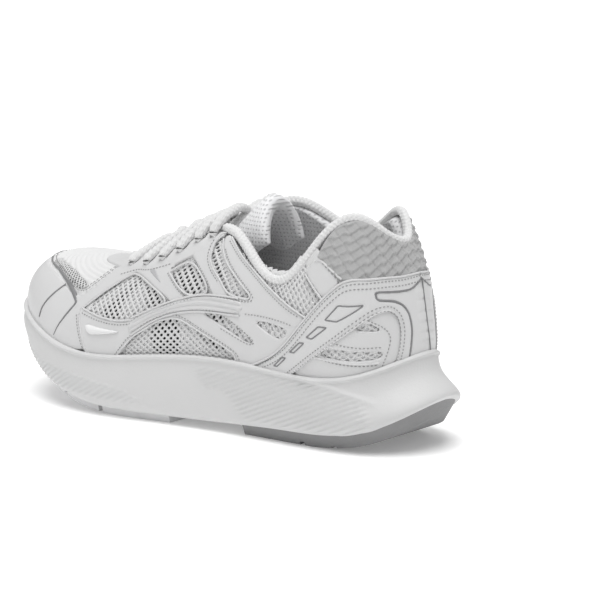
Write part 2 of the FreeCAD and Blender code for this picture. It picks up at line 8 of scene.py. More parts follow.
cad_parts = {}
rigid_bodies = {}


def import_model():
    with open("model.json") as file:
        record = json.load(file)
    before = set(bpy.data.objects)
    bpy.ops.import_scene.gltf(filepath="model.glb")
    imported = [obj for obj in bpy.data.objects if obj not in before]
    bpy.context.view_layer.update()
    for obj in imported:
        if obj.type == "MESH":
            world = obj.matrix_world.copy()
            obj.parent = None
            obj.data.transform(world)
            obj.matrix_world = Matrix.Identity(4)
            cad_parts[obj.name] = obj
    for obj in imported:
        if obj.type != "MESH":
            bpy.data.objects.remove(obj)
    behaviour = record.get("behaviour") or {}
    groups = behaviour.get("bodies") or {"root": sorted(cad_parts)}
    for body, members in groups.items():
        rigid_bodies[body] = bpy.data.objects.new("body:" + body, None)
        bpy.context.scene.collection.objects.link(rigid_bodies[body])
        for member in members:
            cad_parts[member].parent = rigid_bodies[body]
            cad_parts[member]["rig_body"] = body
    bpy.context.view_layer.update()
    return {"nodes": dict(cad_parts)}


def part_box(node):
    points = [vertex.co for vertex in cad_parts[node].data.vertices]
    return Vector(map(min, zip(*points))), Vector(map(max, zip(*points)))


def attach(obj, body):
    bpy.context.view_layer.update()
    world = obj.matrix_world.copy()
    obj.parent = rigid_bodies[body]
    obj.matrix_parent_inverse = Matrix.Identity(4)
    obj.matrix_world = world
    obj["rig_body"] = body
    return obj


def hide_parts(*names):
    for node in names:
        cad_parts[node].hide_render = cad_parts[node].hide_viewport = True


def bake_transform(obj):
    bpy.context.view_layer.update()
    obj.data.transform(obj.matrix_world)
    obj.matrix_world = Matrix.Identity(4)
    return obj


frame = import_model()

# Places round the shoe: 0 at the back seam, TOE at the tip, lateral side first; ROUND is a lap.
TOE, ROUND = 12, 24
DESIGN_LENGTH = 299.5
sole_low, sole_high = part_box("midsole")
MM = (sole_high[0] - sole_low[0]) / DESIGN_LENGTH

# Rows of the outlines: x, lateral y, medial y, z.
BITE_LINE = [
    (-139, 0, 0, 52), (-131, 17, -13.5, 47.5), (-118.5, 33.5, -29.5, 40), (-98, 39, -35.5, 36),
    (-70, 39, -37, 37), (-38, 39, -36, 40), (-4, 42, -38, 39), (30, 48, -45, 35),
    (58, 50, -50, 32), (86, 48, -52, 36), (113, 39, -49, 45), (136, 22, -38, 53),
    (148, -8, -8, 56),
]
TOP_LINE = [
    (-124, 0, 0, 105.5), (-120, 11, -8.5, 109), (-109.5, 24.5, -17, 124), (-92, 32.5, -26, 112),
    (-72, 36, -35, 80), (-50, 33, -32, 87), (-28, 25, -24, 113), (5, 16, -16, 101),
    (38, 12, -12, 89), (66, -2, -2, 82), (88, -4, -4, 82), (103, -6, -6, 82),
    (110, -7, -7, 82),
]
# How each rib of the upper bulges: rise and swell at its foot, run and drop at its top.
RIBS = [
    (.35, 1.2, .80, .30), (.35, 1.8, .85, .30), (.38, 3.5, .90, .30), (.40, 3, .85, .30),
    (.40, 2, .85, .25), (.40, 2, .80, .25), (.45, 2, .75, .20), (.50, 2, .75, .15),
    (.62, 2, .70, .08), (.80, 2.5, .72, .01), (.95, 3, .72, 0), (1.05, 3, .75, 0),
    (1.05, 3, .80, 0),
]
SOLE_LINE = [
    (-153.5, 0, 0, 20), (-146, 25, -22, 13), (-126, 40, -37, 4), (-98, 44, -42, 0),
    (-68, 44, -42, 0), (-38, 44, -41, 0), (-2, 47, -46, 0), (34, 54, -52, 0),
    (62, 56, -56, 1), (92, 51, -55, 8), (120, 38, -49, 20), (143, 16, -37, 31),
    (154, -10, -12, 36),
]


def both_sides(table):
    """Rows for all 24 stations: x, y, z."""
    lateral = [(x, y, z) for x, y, _, z in table]
    medial = [(x, y, z) for x, _, y, z in table[-2:0:-1]]
    return np.array(lateral + medial, float)


BITE, TOP, SOLE = both_sides(BITE_LINE), both_sides(TOP_LINE), both_sides(SOLE_LINE)
RIB = np.array(RIBS + RIBS[-2:0:-1], float)
# The collar stands higher at these stations of the medial side.
HIGH_STATIONS, EXTRA_HEIGHT = [20, 19, 18], [19, 23, 12]
TOP[HIGH_STATIONS, 2] += EXTRA_HEIGHT


# ---- the shoe's surfaces, as functions of arrays --------------------------------------------

def cubic_weights(part):
    """Weights of four neighbours on a uniform cubic spline."""
    rest = 1 - part
    return (rest**3 / 6, (3 * part**3 - 6 * part**2 + 4) / 6,
            (3 * rest**3 - 6 * rest**2 + 4) / 6, part**3 / 6)


def stations(table, place):
    """A row of the table at each place round the shoe."""
    place = np.asarray(place, float)
    first = np.floor(place).astype(int)
    weights = cubic_weights((place - first)[..., None])
    return sum(w * table[(first - 1 + k) % ROUND] for k, w in enumerate(weights))


def from_heel(place):
    """Places between here and the back seam, the shorter way round."""
    return np.minimum(np.mod(place, ROUND), np.mod(-place, ROUND))


def eased(value, start, end):
    """A smooth step from 0 at start to 1 at end."""
    part = np.clip((value - start) / (end - start), 0, 1)
    return part * part * (3 - 2 * part)


def line_lengths(path):
    """Length along the path at each of its points."""
    return np.concatenate([[0], np.cumsum(np.linalg.norm(np.diff(path, axis=0), axis=-1))])


def unit(vectors):
    return vectors / np.maximum(np.linalg.norm(vectors, axis=-1, keepdims=True), 1e-9)


def outward(table, place):
    """Level unit vectors out of an outline."""
    along = stations(table, np.asarray(place) + .02) - stations(table, np.asarray(place) - .02)
    return unit(np.stack([-along[..., 1], along[..., 0], 0 * along[..., 0]], -1))


def last(place, up):
    """Outer face of the upper: up is 0 at the bite line and 1 at the top line."""
    place, up = np.broadcast_arrays(np.asarray(place, float), np.asarray(up, float))
    base, top = stations(BITE, place), stations(TOP, place)
    rise, swell, run, drop = np.moveaxis(stations(RIB, place), -1, 0)
    tall = top[..., 2] - base[..., 2]
    low = base + outward(BITE, place) * swell[..., None]
    low[..., 2] += rise * tall / 2
    high = top + (base - top) * run[..., None]
    high[..., 2] = top[..., 2] - drop * tall
    u, d = up[..., None], 1 - up[..., None]
    return base * d**3 + low * 3 * u * d**2 + high * 3 * u**2 * d + top * u**3


def facing(place, up):
    """Unit vectors out of the upper."""
    place, up = np.broadcast_arrays(np.asarray(place, float), np.asarray(up, float))
    level, step = np.minimum(up, .95), .01
    along = last(place + step, level) - last(place - step, level)
    rising = last(place, level + step) - last(place, level - step)
    out = unit(np.cross(rising, along))
    ridge = (eased(up, .75, 1) * eased(from_heel(place), 9, 10))[..., None]
    return unit(out * (1 - ridge) + np.array([0, 0, 1.]) * ridge)


def spot(place, up, out=0.):
    """Points of the upper, moved out of it."""
    return last(place, up) + facing(place, up) * np.asarray(out, float)[..., None]


# Flat pattern of the upper: distance round the shoe and distance up each rib, in millimetres.
MIDDLE_LEVEL = .45
PLACES = np.linspace(-TOE, ROUND + TOE, 1441)
RIB_POINTS = last(PLACES[:, None], np.linspace(0, 1, 25))
RIB_LENGTHS = np.linalg.norm(np.diff(RIB_POINTS, axis=1), axis=-1).sum(1)
RUN = line_lengths(last(PLACES, MIDDLE_LEVEL))
RUN -= np.interp(0, PLACES, RUN)
TURN = np.interp(ROUND, PLACES, RUN)


def to_pattern(place, up):
    place = np.asarray(place, float)
    return np.stack([np.interp(place, PLACES, RUN), up * np.interp(place, PLACES, RIB_LENGTHS)], -1)


def from_pattern(flat):
    place = np.interp(flat[..., 0], RUN, PLACES)
    return place, flat[..., 1] / np.interp(place, PLACES, RIB_LENGTHS)


def rounded(points, rounds=3, cut=.22, closed=True):
    """The outline with its corners cut smooth."""
    points = np.array(points, float)
    for _ in range(rounds):
        following = np.roll(points, -1, 0) if closed else points[1:]
        leading = points if closed else points[:-1]
        a = leading * (1 - cut) + following * cut
        b = leading * cut + following * (1 - cut)
        middle = np.stack([a, b], 1).reshape(-1, points.shape[1])
        points = middle if closed else np.vstack([points[:1], middle[1:-1], points[-1:]])
    return points


def inside_distance(flat, outline):
    """Signed distance from flat points to a closed outline, negative inside."""
    ends = np.roll(outline, -1, 0)
    best = np.full(flat.shape[:-1], 1e9)
    inside = np.zeros(flat.shape[:-1], bool)
    for a, b in zip(outline, ends):
        edge, gap = b - a, flat - a
        share = np.clip((gap @ edge) / max(edge @ edge, 1e-12), 0, 1)
        best = np.minimum(best, np.linalg.norm(gap - share[..., None] * edge, axis=-1))
        crosses = (a[1] > flat[..., 1]) != (b[1] > flat[..., 1])
        with np.errstate(divide="ignore", invalid="ignore"):
            inside ^= crosses & (gap[..., 0] < edge[0] * gap[..., 1] / edge[1])
    return np.where(inside, -best, best)


TALLEST_RIB = 62


class Outline:
    """A closed region of the flat pattern, given by (place, level) corners."""

    def __init__(self, corners, rounds=3, cut=.22):
        corners = np.array(corners, float)
        flat = to_pattern(corners[:, 0], corners[:, 1])
        self.flat = rounded(flat, rounds, cut)

    def distance(self, flat):
        return inside_distance(flat, self.flat)


def turned(corners):
    """The same corners on the medial side."""
    return [(ROUND - place, up) for place, up in corners]


# ---- making objects -------------------------------------------------------------------------

def added(name, data):
    """A new object in the scene."""
    thing = bpy.data.objects.new(name, data)
    bpy.context.scene.collection.objects.link(thing)
    return thing


def make(name, points, faces, material, nodes=()):
    """A piece of the upper or the sole, from points in design millimetres."""
    mesh = bpy.data.meshes.new(name)
    mesh.from_pydata((points * MM).tolist(), [],
                     faces if isinstance(faces, list) else faces.tolist())
    mesh.update()
    mesh.validate()
    mesh.materials.append(material)
    mesh.shade_smooth()
    piece = added(name, mesh)
    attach(piece, "root")
    if nodes:
        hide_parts(*nodes)
    return piece


def grid_faces(rows, columns, wrap_rows=False, wrap_columns=False):
    """Quads between rows of points."""
    r = np.arange(rows if wrap_rows else rows - 1)
    c = np.arange(columns if wrap_columns else columns - 1)
    r, c = np.meshgrid(r, c, indexing="ij")
    r2, c2 = (r + 1) % rows, (c + 1) % columns
    faces = np.stack([r * columns + c, r2 * columns + c, r2 * columns + c2, r * columns + c2], -1)
    return faces.reshape(-1, 4)


def quad_edges(faces):
    return np.concatenate([faces[:, [k, (k + 1) % 4]] for k in range(4)])


def rim_walls(edges, count):
    """Walls from a sheet to its copy, count points further on, along edges that one face has."""
    keys, back = edges[:, 0] * count + edges[:, 1], edges[:, 1] * count + edges[:, 0]
    rim = edges[~np.isin(keys, back)]
    return np.stack([rim[:, 1], rim[:, 0], rim[:, 0] + count, rim[:, 1] + count], -1)


def shell_faces(kept, rows, columns):
    """Points used by a thick sheet, and its faces: kept cells on both sides, walls round them."""
    index = np.arange(rows * columns).reshape(rows, columns)
    a, b, c, d = index[:-1, :-1], index[1:, :-1], index[1:, 1:], index[:-1, 1:]
    outer = np.stack([a, d, c, b], -1)[kept]
    count = rows * columns
    faces = np.concatenate([outer, outer[:, ::-1] + count, rim_walls(quad_edges(outer), count)])
    used, faces = np.unique(faces, return_inverse=True)
    return used, faces.reshape(-1, 4)


def cut_sheet(name, span, region, height, depth, material, step, nodes=()):
    """A sheet cut from the upper to the region (a function of flat points, negative inside).

    span is (first place, last place, low level, high level); height and depth are functions of
    (flat points, distance inside the edge) that give the outer and the inner face.
    """
    first, final, low, high = span
    run = abs(np.interp(final, PLACES, RUN) - np.interp(first, PLACES, RUN))
    rows = max(8, int(run / step))
    columns = max(8, int((high - low) * TALLEST_RIB / step))
    place, up = np.meshgrid(np.linspace(first, final, rows), np.linspace(low, high, columns),
                            indexing="ij")
    flat = to_pattern(place, up)
    gap = region(flat)
    middle = (gap[:-1, :-1] + gap[1:, :-1] + gap[1:, 1:] + gap[:-1, 1:]) / 4
    kept = middle < 0
    # Points on the rim of the kept cells move onto the outline.
    touching = np.zeros(gap.shape, int)
    for rows_cut in (slice(None, -1), slice(1, None)):
        for columns_cut in (slice(None, -1), slice(1, None)):
            touching[rows_cut, columns_cut] += kept
    rim = (touching > 0) & (touching < 4) & (np.abs(gap) < 2.2 * step)
    for _ in range(2):
        at = flat[rim]
        here = region(at)
        slope = np.stack([region(at + (.05, 0)) - here, region(at + (0, .05)) - here], -1) / .05
        flat[rim] = at - unit(slope) * np.clip(here, -2 * step, 2 * step)[:, None]
    gap = region(flat)
    place, up = from_pattern(flat)
    inward = np.maximum(-gap, 0)
    outer = spot(place, up, height(flat, inward))
    inner = spot(place, up, depth(flat, inward))
    points = np.concatenate([outer.reshape(-1, 3), inner.reshape(-1, 3)])
    used, faces = shell_faces(kept, *place.shape)
    return make(name, points[used], faces, material, nodes)


def frames_along(path):
    """Unit run, level and raised vectors along a path."""
    run = unit(np.gradient(path, axis=0))
    level = unit(np.cross(run, np.broadcast_to([0, 0, 1.], run.shape)))
    return run, level, np.cross(level, run)


def angles(count):
    return np.linspace(0, 2 * np.pi, count, endpoint=False)


def rings(level, raised, turn, half_width, half_height):
    """Offsets from a path to the points of an oval ring at each of its points."""
    return (level[:, None] * np.cos(turn)[None, :, None] * half_width
            + raised[:, None] * np.sin(turn)[None, :, None] * half_height)


def tube_faces(rows, around):
    """Faces of a closed tube of rings."""
    faces = grid_faces(rows, around, wrap_columns=True)
    final = (rows - 1) * around
    ends = [list(range(around)), list(range(final, final + around))[::-1]]
    return faces[:, ::-1].tolist() + ends


def spread(points, count):
    """Evenly spaced points along a line of points."""
    length = line_lengths(points)
    wanted = np.linspace(0, length[-1], count)
    return np.stack([np.interp(wanted, length, points[:, k]) for k in range(points.shape[1])], -1)


def spline(points, per_span):
    """A smooth line through a few points (Catmull-Rom)."""
    points = np.asarray(points, float)
    padded = np.vstack([2 * points[0] - points[1], points, 2 * points[-1] - points[-2]])
    t = np.linspace(0, 1, per_span, endpoint=False)[:, None]
    spans = []
    for a, b, c, d in zip(padded, padded[1:], padded[2:], padded[3:]):
        spans.append(.5 * (2 * b + (c - a) * t + (2 * a - 5 * b + 4 * c - d) * t**2
                           + (3 * b - a - 3 * c + d) * t**3))
    return np.vstack(spans + [points[-1:]])


# ---- materials ------------------------------------------------------------------------------

class Surface:
    """A node material being built: colour, roughness and bump from 3-D patterns."""

    def __init__(self, name, colour, roughness, sheen=0., specular=.5):
        self.material = bpy.data.materials.new(name)
        self.material.use_nodes = True
        self.nodes = self.material.node_tree.nodes
        self.link = self.material.node_tree.links.new
        self.shader = self.nodes["Principled BSDF"]
        self.shader.inputs["Base Color"].default_value = (*colour, 1)
        self.shader.inputs["Roughness"].default_value = roughness
        self.shader.inputs["Specular IOR Level"].default_value = specular
        if sheen:
            self.shader.inputs["Sheen Weight"].default_value = sheen
            self.shader.inputs["Sheen Roughness"].default_value = .5
        self.place = self.nodes.new("ShaderNodeTexCoord").outputs["Object"]
        self.colour = colour

    def pattern(self, kind, size_mm, vector):
        """A texture node whose features have this size."""
        node = self.nodes.new(kind)
        node.inputs["Scale"].default_value = 1000 / size_mm
        self.link(vector, node.inputs["Vector"])
        return node

    def noise(self, size_mm, detail=3, stretch=(1, 1, 1)):
        """Cloudy pattern with features of this size."""
        mapping = self.nodes.new("ShaderNodeMapping")
        mapping.inputs["Scale"].default_value = stretch
        self.link(self.place, mapping.inputs["Vector"])
        node = self.pattern("ShaderNodeTexNoise", size_mm, mapping.outputs["Vector"])
        node.inputs["Detail"].default_value = detail
        return node.outputs["Fac"]

    def cells(self, size_mm):
        """Small rounded cells."""
        return self.pattern("ShaderNodeTexVoronoi", size_mm, self.place).outputs["Distance"]

    def waves(self, size_mm, direction):
        """Parallel threads."""
        node = self.pattern("ShaderNodeTexWave", size_mm * 3.14, self.place)
        node.bands_direction = direction
        return node.outputs["Fac"]

    def ramp(self, value, low, high, start=0., end=1.):
        """The value's range from low to high, mapped to start and end."""
        node = self.nodes.new("ShaderNodeMapRange")
        for socket, number in zip(("From Min", "From Max", "To Min", "To Max"),
                                  (low, high, start, end)):
            node.inputs[socket].default_value = number
        self.link(value, node.inputs["Value"])
        return node.outputs["Result"]

    def math(self, kind, a, b):
        """A sum or product of two values, each a number or a socket."""
        node = self.nodes.new("ShaderNodeMath")
        node.operation = kind
        for socket, value in zip(node.inputs, (a, b)):
            if isinstance(value, (int, float)):
                socket.default_value = value
            else:
                self.link(value, socket)
        return node.outputs[0]

    def tint(self, value, low, high):
        """Colour between two factors of the base colour, by a value from 0 to 1."""
        node = self.nodes.new("ShaderNodeMix")
        node.data_type = "RGBA"
        node.inputs["A"].default_value = (*[c * low for c in self.colour], 1)
        node.inputs["B"].default_value = (*[c * high for c in self.colour], 1)
        self.link(value, node.inputs["Factor"])
        self.link(node.outputs["Result"], self.shader.inputs["Base Color"])
        return self

    def tone(self):
        """The painted shade stored on the mesh's points."""
        node = self.nodes.new("ShaderNodeAttribute")
        node.attribute_name = "tone"
        return node.outputs["Fac"]

    def rough(self, value, low, high):
        """Roughness that varies with the value."""
        self.link(self.ramp(value, .3, .7, low, high), self.shader.inputs["Roughness"])
        return self

    def bump(self, height, depth_mm):
        """Relief of this depth, on top of any that is there."""
        node = self.nodes.new("ShaderNodeBump")
        node.inputs["Distance"].default_value = depth_mm / 1000
        node.inputs["Strength"].default_value = 1
        self.link(height, node.inputs["Height"])
        previous = self.shader.inputs["Normal"]
        if previous.is_linked:
            self.link(previous.links[0].from_socket, node.inputs["Normal"])
        self.link(node.outputs["Normal"], previous)
        return self


def foam_material():
    surface = Surface("midsole_foam", (.62, .62, .62), .55, specular=.4)
    surface.tint(surface.noise(40), .97, 1.02)
    surface.rough(surface.noise(6), .5, .62)
    surface.bump(surface.noise(.9, 4), .10).bump(surface.cells(1.6), .05)
    return surface.material


def synthetic_material(name="synthetic", shade=.64, roughness=.42):
    """Smooth coated synthetic leather with a fine pebble grain."""
    surface = Surface(name, (shade, shade, shade * 1.003), roughness, specular=.45)
    surface.tint(surface.noise(25), .97, 1.02)
    surface.rough(surface.noise(3), roughness - .06, roughness + .08)
    surface.bump(surface.cells(.8), .04).bump(surface.noise(.5, 2), .03)
    return surface.material


def knit_material(name, shade=.76, size_mm=.8, depth_mm=.16):
    """Yarn: fine fibres over a small cell pattern."""
    surface = Surface(name, (shade, shade, shade), .85, sheen=.25, specular=.25)
    surface.tint(surface.cells(size_mm), 1.03, .93)
    surface.bump(surface.cells(size_mm), depth_mm).bump(surface.noise(.25, 2), .05)
    return surface.material


def woven_material(name, shade, size_mm=.9, depth_mm=.12):
    """Plain weave: two crossed sets of threads."""
    surface = Surface(name, (shade, shade, shade), .8, sheen=.2, specular=.25)
    across = surface.waves(size_mm, "DIAGONAL")
    along = surface.waves(size_mm, "X")
    weave = surface.math("MULTIPLY", across, along)
    surface.tint(weave, .93, 1.03)
    surface.bump(weave, depth_mm).bump(surface.noise(.3, 2), .04)
    return surface.material


def spacer_material(name, shade, size_mm):
    """Spacer mesh: small round pits in a soft knit, with painted shade in the pits."""
    surface = Surface(name, (shade, shade, shade * 1.01), .9, sheen=.3, specular=.2)
    rows = surface.math("MULTIPLY", surface.waves(size_mm, "X"), surface.waves(size_mm, "Z"))
    pits = surface.ramp(surface.math("SUBTRACT", 1, rows), .25, .6)
    # Painted shade: the pits are darkened to about three quarters of the base colour.
    surface.tint(pits, .74, 1.02)
    surface.bump(pits, .35).bump(surface.noise(.4, 2), .06)
    return surface.material


def backing_material():
    """Textile behind the open mesh; the attribute on its points paints shade on it, darkening it
    where it stands away.
    """
    surface = Surface("mesh_backing", (.86, .86, .87), .9, sheen=.15, specular=.2)
    # Painted shade: the attribute darkens the pale backing to near black.
    surface.tint(surface.tone(), 1, .07)
    surface.bump(surface.noise(.4, 2), .06)
    return surface.material


def vamp_material():
    """Corded forefoot textile, with painted shade in its open rows of holes."""
    surface = Surface("vamp_textile", (.70, .70, .70), .82, sheen=.2, specular=.25)
    # Painted shade: darkened in the rows of holes.
    surface.tint(surface.tone(), 1.02, .12)
    surface.bump(surface.cells(.7), .10).bump(surface.noise(.3, 2), .04)
    return surface.material


def rubber_material(name, shade):
    surface = Surface(name, (shade, shade, shade * 1.01), .68, specular=.4)
    surface.tint(surface.noise(8, 5), .92, 1.06)
    surface.rough(surface.noise(1.5), .58, .78)
    surface.bump(surface.noise(.5, 4), .12).bump(surface.cells(.35), .04)
    return surface.material


def film_material(name, shade, roughness=.35):
    """Thin printed film with a faint brushed look."""
    surface = Surface(name, (shade, shade, shade * 1.02), roughness, specular=.5)
    surface.tint(surface.noise(4, 2, (1, 1, 6)), .92, 1.06)
    surface.bump(surface.noise(.4, 2), .03)
    return surface.material


FOAM = foam_material()
SYNTHETIC = synthetic_material()
MESH = woven_material("mesh_yarn", .70, .7, .10)
BACKING = backing_material()
VAMP_TEXTILE = vamp_material()
KNIT = knit_material("binding_knit")
TONGUE_KNIT = spacer_material("tongue_knit", .82, 2.2)
LACE = woven_material("lace_braid", .76, 1.0, .2)
# Stitching coloured dark grey: painted shade of stitches sunk in their grooves, not the thread's
# own colour.
PAINTED_SHADE_THREAD = knit_material("stitching_painted_shade", .33, .4, .05)
LINING = spacer_material("lining", .68, 2.4)
SOCKLINER = woven_material("sockliner_cloth", .76, .8, .1)
TAB_CLOTH = woven_material("heel_tab_cloth", .44, .6, .06)
TRIM = film_material("grey_trim", .22)
TRIM_PALE = film_material("pale_trim", .45, .5)
PUFF = synthetic_material("puffed_print", .78, .6)
DARK_RUBBER = rubber_material("heel_rubber", .25)
LIGHT_RUBBER = rubber_material("forefoot_rubber", .70)
BOARD = woven_material("strobel_cloth", .7, 1.2, .1)

AZIMUTH, ELEVATION = math.radians(38.39), math.radians(9.63)
DISTANCE, SHIFT_RIGHT, SHIFT_UP = 1104.66, 43.96, 10.4
AIM_HEIGHT, LENS = 50., 117


def add_camera():
    """Level view from behind the little-toe side, a little above the collar."""
    look = np.array([math.sin(AZIMUTH) * math.cos(ELEVATION),
                     -math.cos(AZIMUTH) * math.cos(ELEVATION), -math.sin(ELEVATION)])
    right = np.array([-math.cos(AZIMUTH), -math.sin(AZIMUTH), 0])
    up = np.cross(right, look)
    place = np.array([0, 0, AIM_HEIGHT]) - DISTANCE * look + SHIFT_RIGHT * right + SHIFT_UP * up
    camera = added("camera", bpy.data.cameras.new("camera"))
    camera.data.lens = LENS
    turn = Matrix((right, up, -look)).transposed()
    camera.matrix_world = Matrix.Translation(Vector(place * MM)) @ turn.to_4x4()
    bpy.context.scene.camera = camera


add_camera()

# ---- sole -----------------------------------------------------------------------------------

UPWARD = np.array([0, 0, 1.])
LIP = 3.0
FOOTBED = 5.2
RUBBER, HEEL_RUBBER, RUBBER_INSET = 4, 3.2, 7
# Lines on the wall's front and middle part: their pitch and how far they stand out.
FORE_PITCH, FORE_RELIEF = 2.6, .65
MID_PITCH, MID_RELIEF = 2.56, .8


def wall_design(place):
    """Design points of the midsole wall, bottom edge to lip, for each place."""
    sole, bite = stations(SOLE, place), stations(BITE, place)
    out, lip = outward(SOLE, place), outward(BITE, place) * LIP
    tall = (bite[..., 2] - sole[..., 2])[..., None]
    reach = from_heel(place)[..., None]
    share = 2 - eased(reach, 3.5, 6) - eased(reach, 0, 2.5)
    low = RUBBER + HEEL_RUBBER * share
    inset = RUBBER_INSET - HEEL_RUBBER * .85 * share
    return np.stack([
        sole - out * inset + UPWARD * low,
        sole - out * inset * .2 + UPWARD * (low + 1),
        sole + UPWARD * .42 * tall,
        bite + lip * 1.6 - UPWARD * .32 * tall,
        bite + lip - UPWARD * 3,
        bite + lip + UPWARD * .8,
    ], -2)


def along_design(points, part):
    """Places on the smooth curve from the first design point to the last."""
    ends = np.concatenate([2 * points[..., :1, :] - points[..., 1:2, :], points,
                           2 * points[..., -1:, :] - points[..., -2:-1, :]], -2)
    spans = points.shape[-2] - 1
    first = np.minimum((part * spans).astype(int), spans - 1)
    weights = cubic_weights(part * spans - first)
    return sum(w[:, None] * ends[..., first + k, :] for k, w in enumerate(weights))


def saw(phase):
    """Sloping steps with softened edges, 0 to 1."""
    part = phase - np.floor(phase)
    return np.where(part < .75, part / .75, (1 - part) / .25)


def wall_relief(x, z, s):
    """Height of the moulded lines on the midsole wall, seen from the side."""
    top = np.interp(x, [15, 30, 72, 100, 126], [11, 18.5, 23.5, 27, 33])
    low = np.interp(x, [15, 46, 90, 128], [8.6, 8.6, 12.5, 24])
    fore = eased(z, low, low + 2) * (1 - eased(z, top - 2, top)) * eased(x, 14, 20)
    fore *= 1 - eased(x, 124, 134)
    relief = FORE_RELIEF * fore * saw((.456 * x + .891 * z) / FORE_PITCH)
    front = np.interp(z, [4, 23, 25, 32, 36], [-52, -33, -20, -13, -13])
    rear = np.interp(z, [4, 27.6, 34, 38], [-140, -126, -101, -80])
    mid = eased(front - x, 0, 7) * eased(x - rear, 1, 8) * eased(z, 8, 11.5)
    mid *= 1 - eased(z, 33.5, 36)
    relief += MID_RELIEF * mid * saw((.365 * x + .931 * z) / MID_PITCH)
    crest = np.interp(x, [-130, -103, -82, -70], [26.5, 34, 38.5, 41])
    ridge = np.exp(-((z - crest) / 1.6)**2) * eased(x, -132, -118) * (1 - eased(x, -84, -72))
    relief += .9 * ridge
    bead = np.exp(-((s - .955) / .045)**2)
    return relief + .9 * bead


def add_midsole():
    """The foam block: moulded wall, bead under the upper and a sunken bed."""
    rows, columns = 1150, 76
    place = np.linspace(0, ROUND, rows, endpoint=False)
    s = np.linspace(0, 1, columns)
    wall = along_design(wall_design(place), s)
    side = unit(np.cross(np.gradient(wall, axis=1), np.roll(wall, -1, 0) - np.roll(wall, 1, 0)))
    relief = wall_relief(wall[..., 0], wall[..., 2], s[None])
    wall = wall + side * relief[..., None]
    bite, out = stations(BITE, place), outward(BITE, place)
    rolled = [bite + out * r + UPWARD * h for r, h in
              ((2.2, 1.3), (1.2, 1.2), (.5, .4), (.3, -1), (.3, -FOOTBED))]
    ribs = np.concatenate([wall, np.stack(rolled, 1)], 1)
    columns = ribs.shape[1]
    half = rows // 2
    points = ribs.reshape(-1, 3)
    faces = grid_faces(rows, columns, wrap_rows=True).tolist()
    # The bed and the underside span from side to side.
    extra, count = [], len(points)
    across = 8
    for column, flip in ((0, True), (columns - 1, False)):
        index = np.zeros((half + 1, across + 1), int)
        for i in range(half + 1):
            a, b = i, (-i) % rows
            index[i, 0], index[i, across] = a * columns + column, b * columns + column
            if a == b:
                index[i, :] = index[i, 0]
                continue
            for k in range(1, across):
                share = k / across
                extra.append(ribs[a, column] * (1 - share) + ribs[b, column] * share)
                index[i, k] = count
                count += 1
        for i in range(half):
            for k in range(across):
                quad = [index[i, k], index[i + 1, k], index[i + 1, k + 1], index[i, k + 1]]
                # The strips at the two ends of the shoe have triangles.
                quad = list(dict.fromkeys(quad))
                if len(quad) > 2:
                    faces.append(quad[::-1] if flip else quad)
    make("midsole_block", np.vstack([points, extra]), faces, FOAM, ["midsole"])


add_midsole()
for node, thing in frame["nodes"].items():
    if node.startswith("outsole"):
        thing.material_slots[0].material = DARK_RUBBER if node == "outsole_heel" else LIGHT_RUBBER

# ---- overlays -------------------------------------------------------------------------------

OVERLAY = 1.1
UNDERSIDE = .06
# The level, just under the bite line, where overlays tuck into the sole.
FOOT = -.03


def raised(height, edge=.7, base=.35):
    """Height of a sheet with a rolled edge."""
    return lambda flat, inward: base + (height - base) * np.sqrt(
        1 - (1 - np.clip(inward / edge, 0, 1))**2)


def flush(depth):
    """The same height everywhere."""
    return lambda flat, inward: depth + 0 * inward


def span_of(corners):
    places, levels = zip(*corners)
    return min(places), max(places), min(levels), max(levels)


def overlay(name, corners, height=OVERLAY, holes=(), relief=None, material=SYNTHETIC, nodes=(),
            step=.7, rounds=3):
    """One welded overlay, with windows cut through it."""
    body = Outline(corners, rounds)
    cuts = [Outline(hole) for hole in holes]

    def region(flat):
        gap = body.distance(flat)
        for cut in cuts:
            gap = np.maximum(gap, -cut.distance(flat))
        return gap

    plain = raised(height)
    shape = plain if relief is None else (
        lambda flat, inward: plain(flat, inward) + relief(flat, inward))
    return cut_sheet(name, span_of(corners), region, shape, flush(UNDERSIDE), material, step,
                     nodes)


def pair(name, corners, nodes=(), holes=(), relief=None, **options):
    """The overlay on the lateral side and its twin on the medial side."""
    for side, turn in (("lateral", list), ("medial", turned)):
        twin = None
        if relief is not None:
            twin = relief if side == "lateral" else (
                lambda flat, inward: relief(flat * (-1, 1) + (TURN, 0), inward))
        overlay(f"{name}_{side}", turn(corners), holes=[turn(hole) for hole in holes],
                relief=twin, nodes=[f"{node}_{side}" for node in nodes], **options)


def disc(place, up, radius):
    """Corners of a round hole in the pattern."""
    turn = angles(12)
    flat = to_pattern(place, up) + radius * np.stack([np.cos(turn), np.sin(turn)], -1)
    return list(zip(*from_pattern(flat)))


EYELET_RADIUS = 3
EYELETS = [(7.90, .78), (7.40, .76), (7.02, .77), (6.72, .81), (6.48, .88), (6.24, .93)]

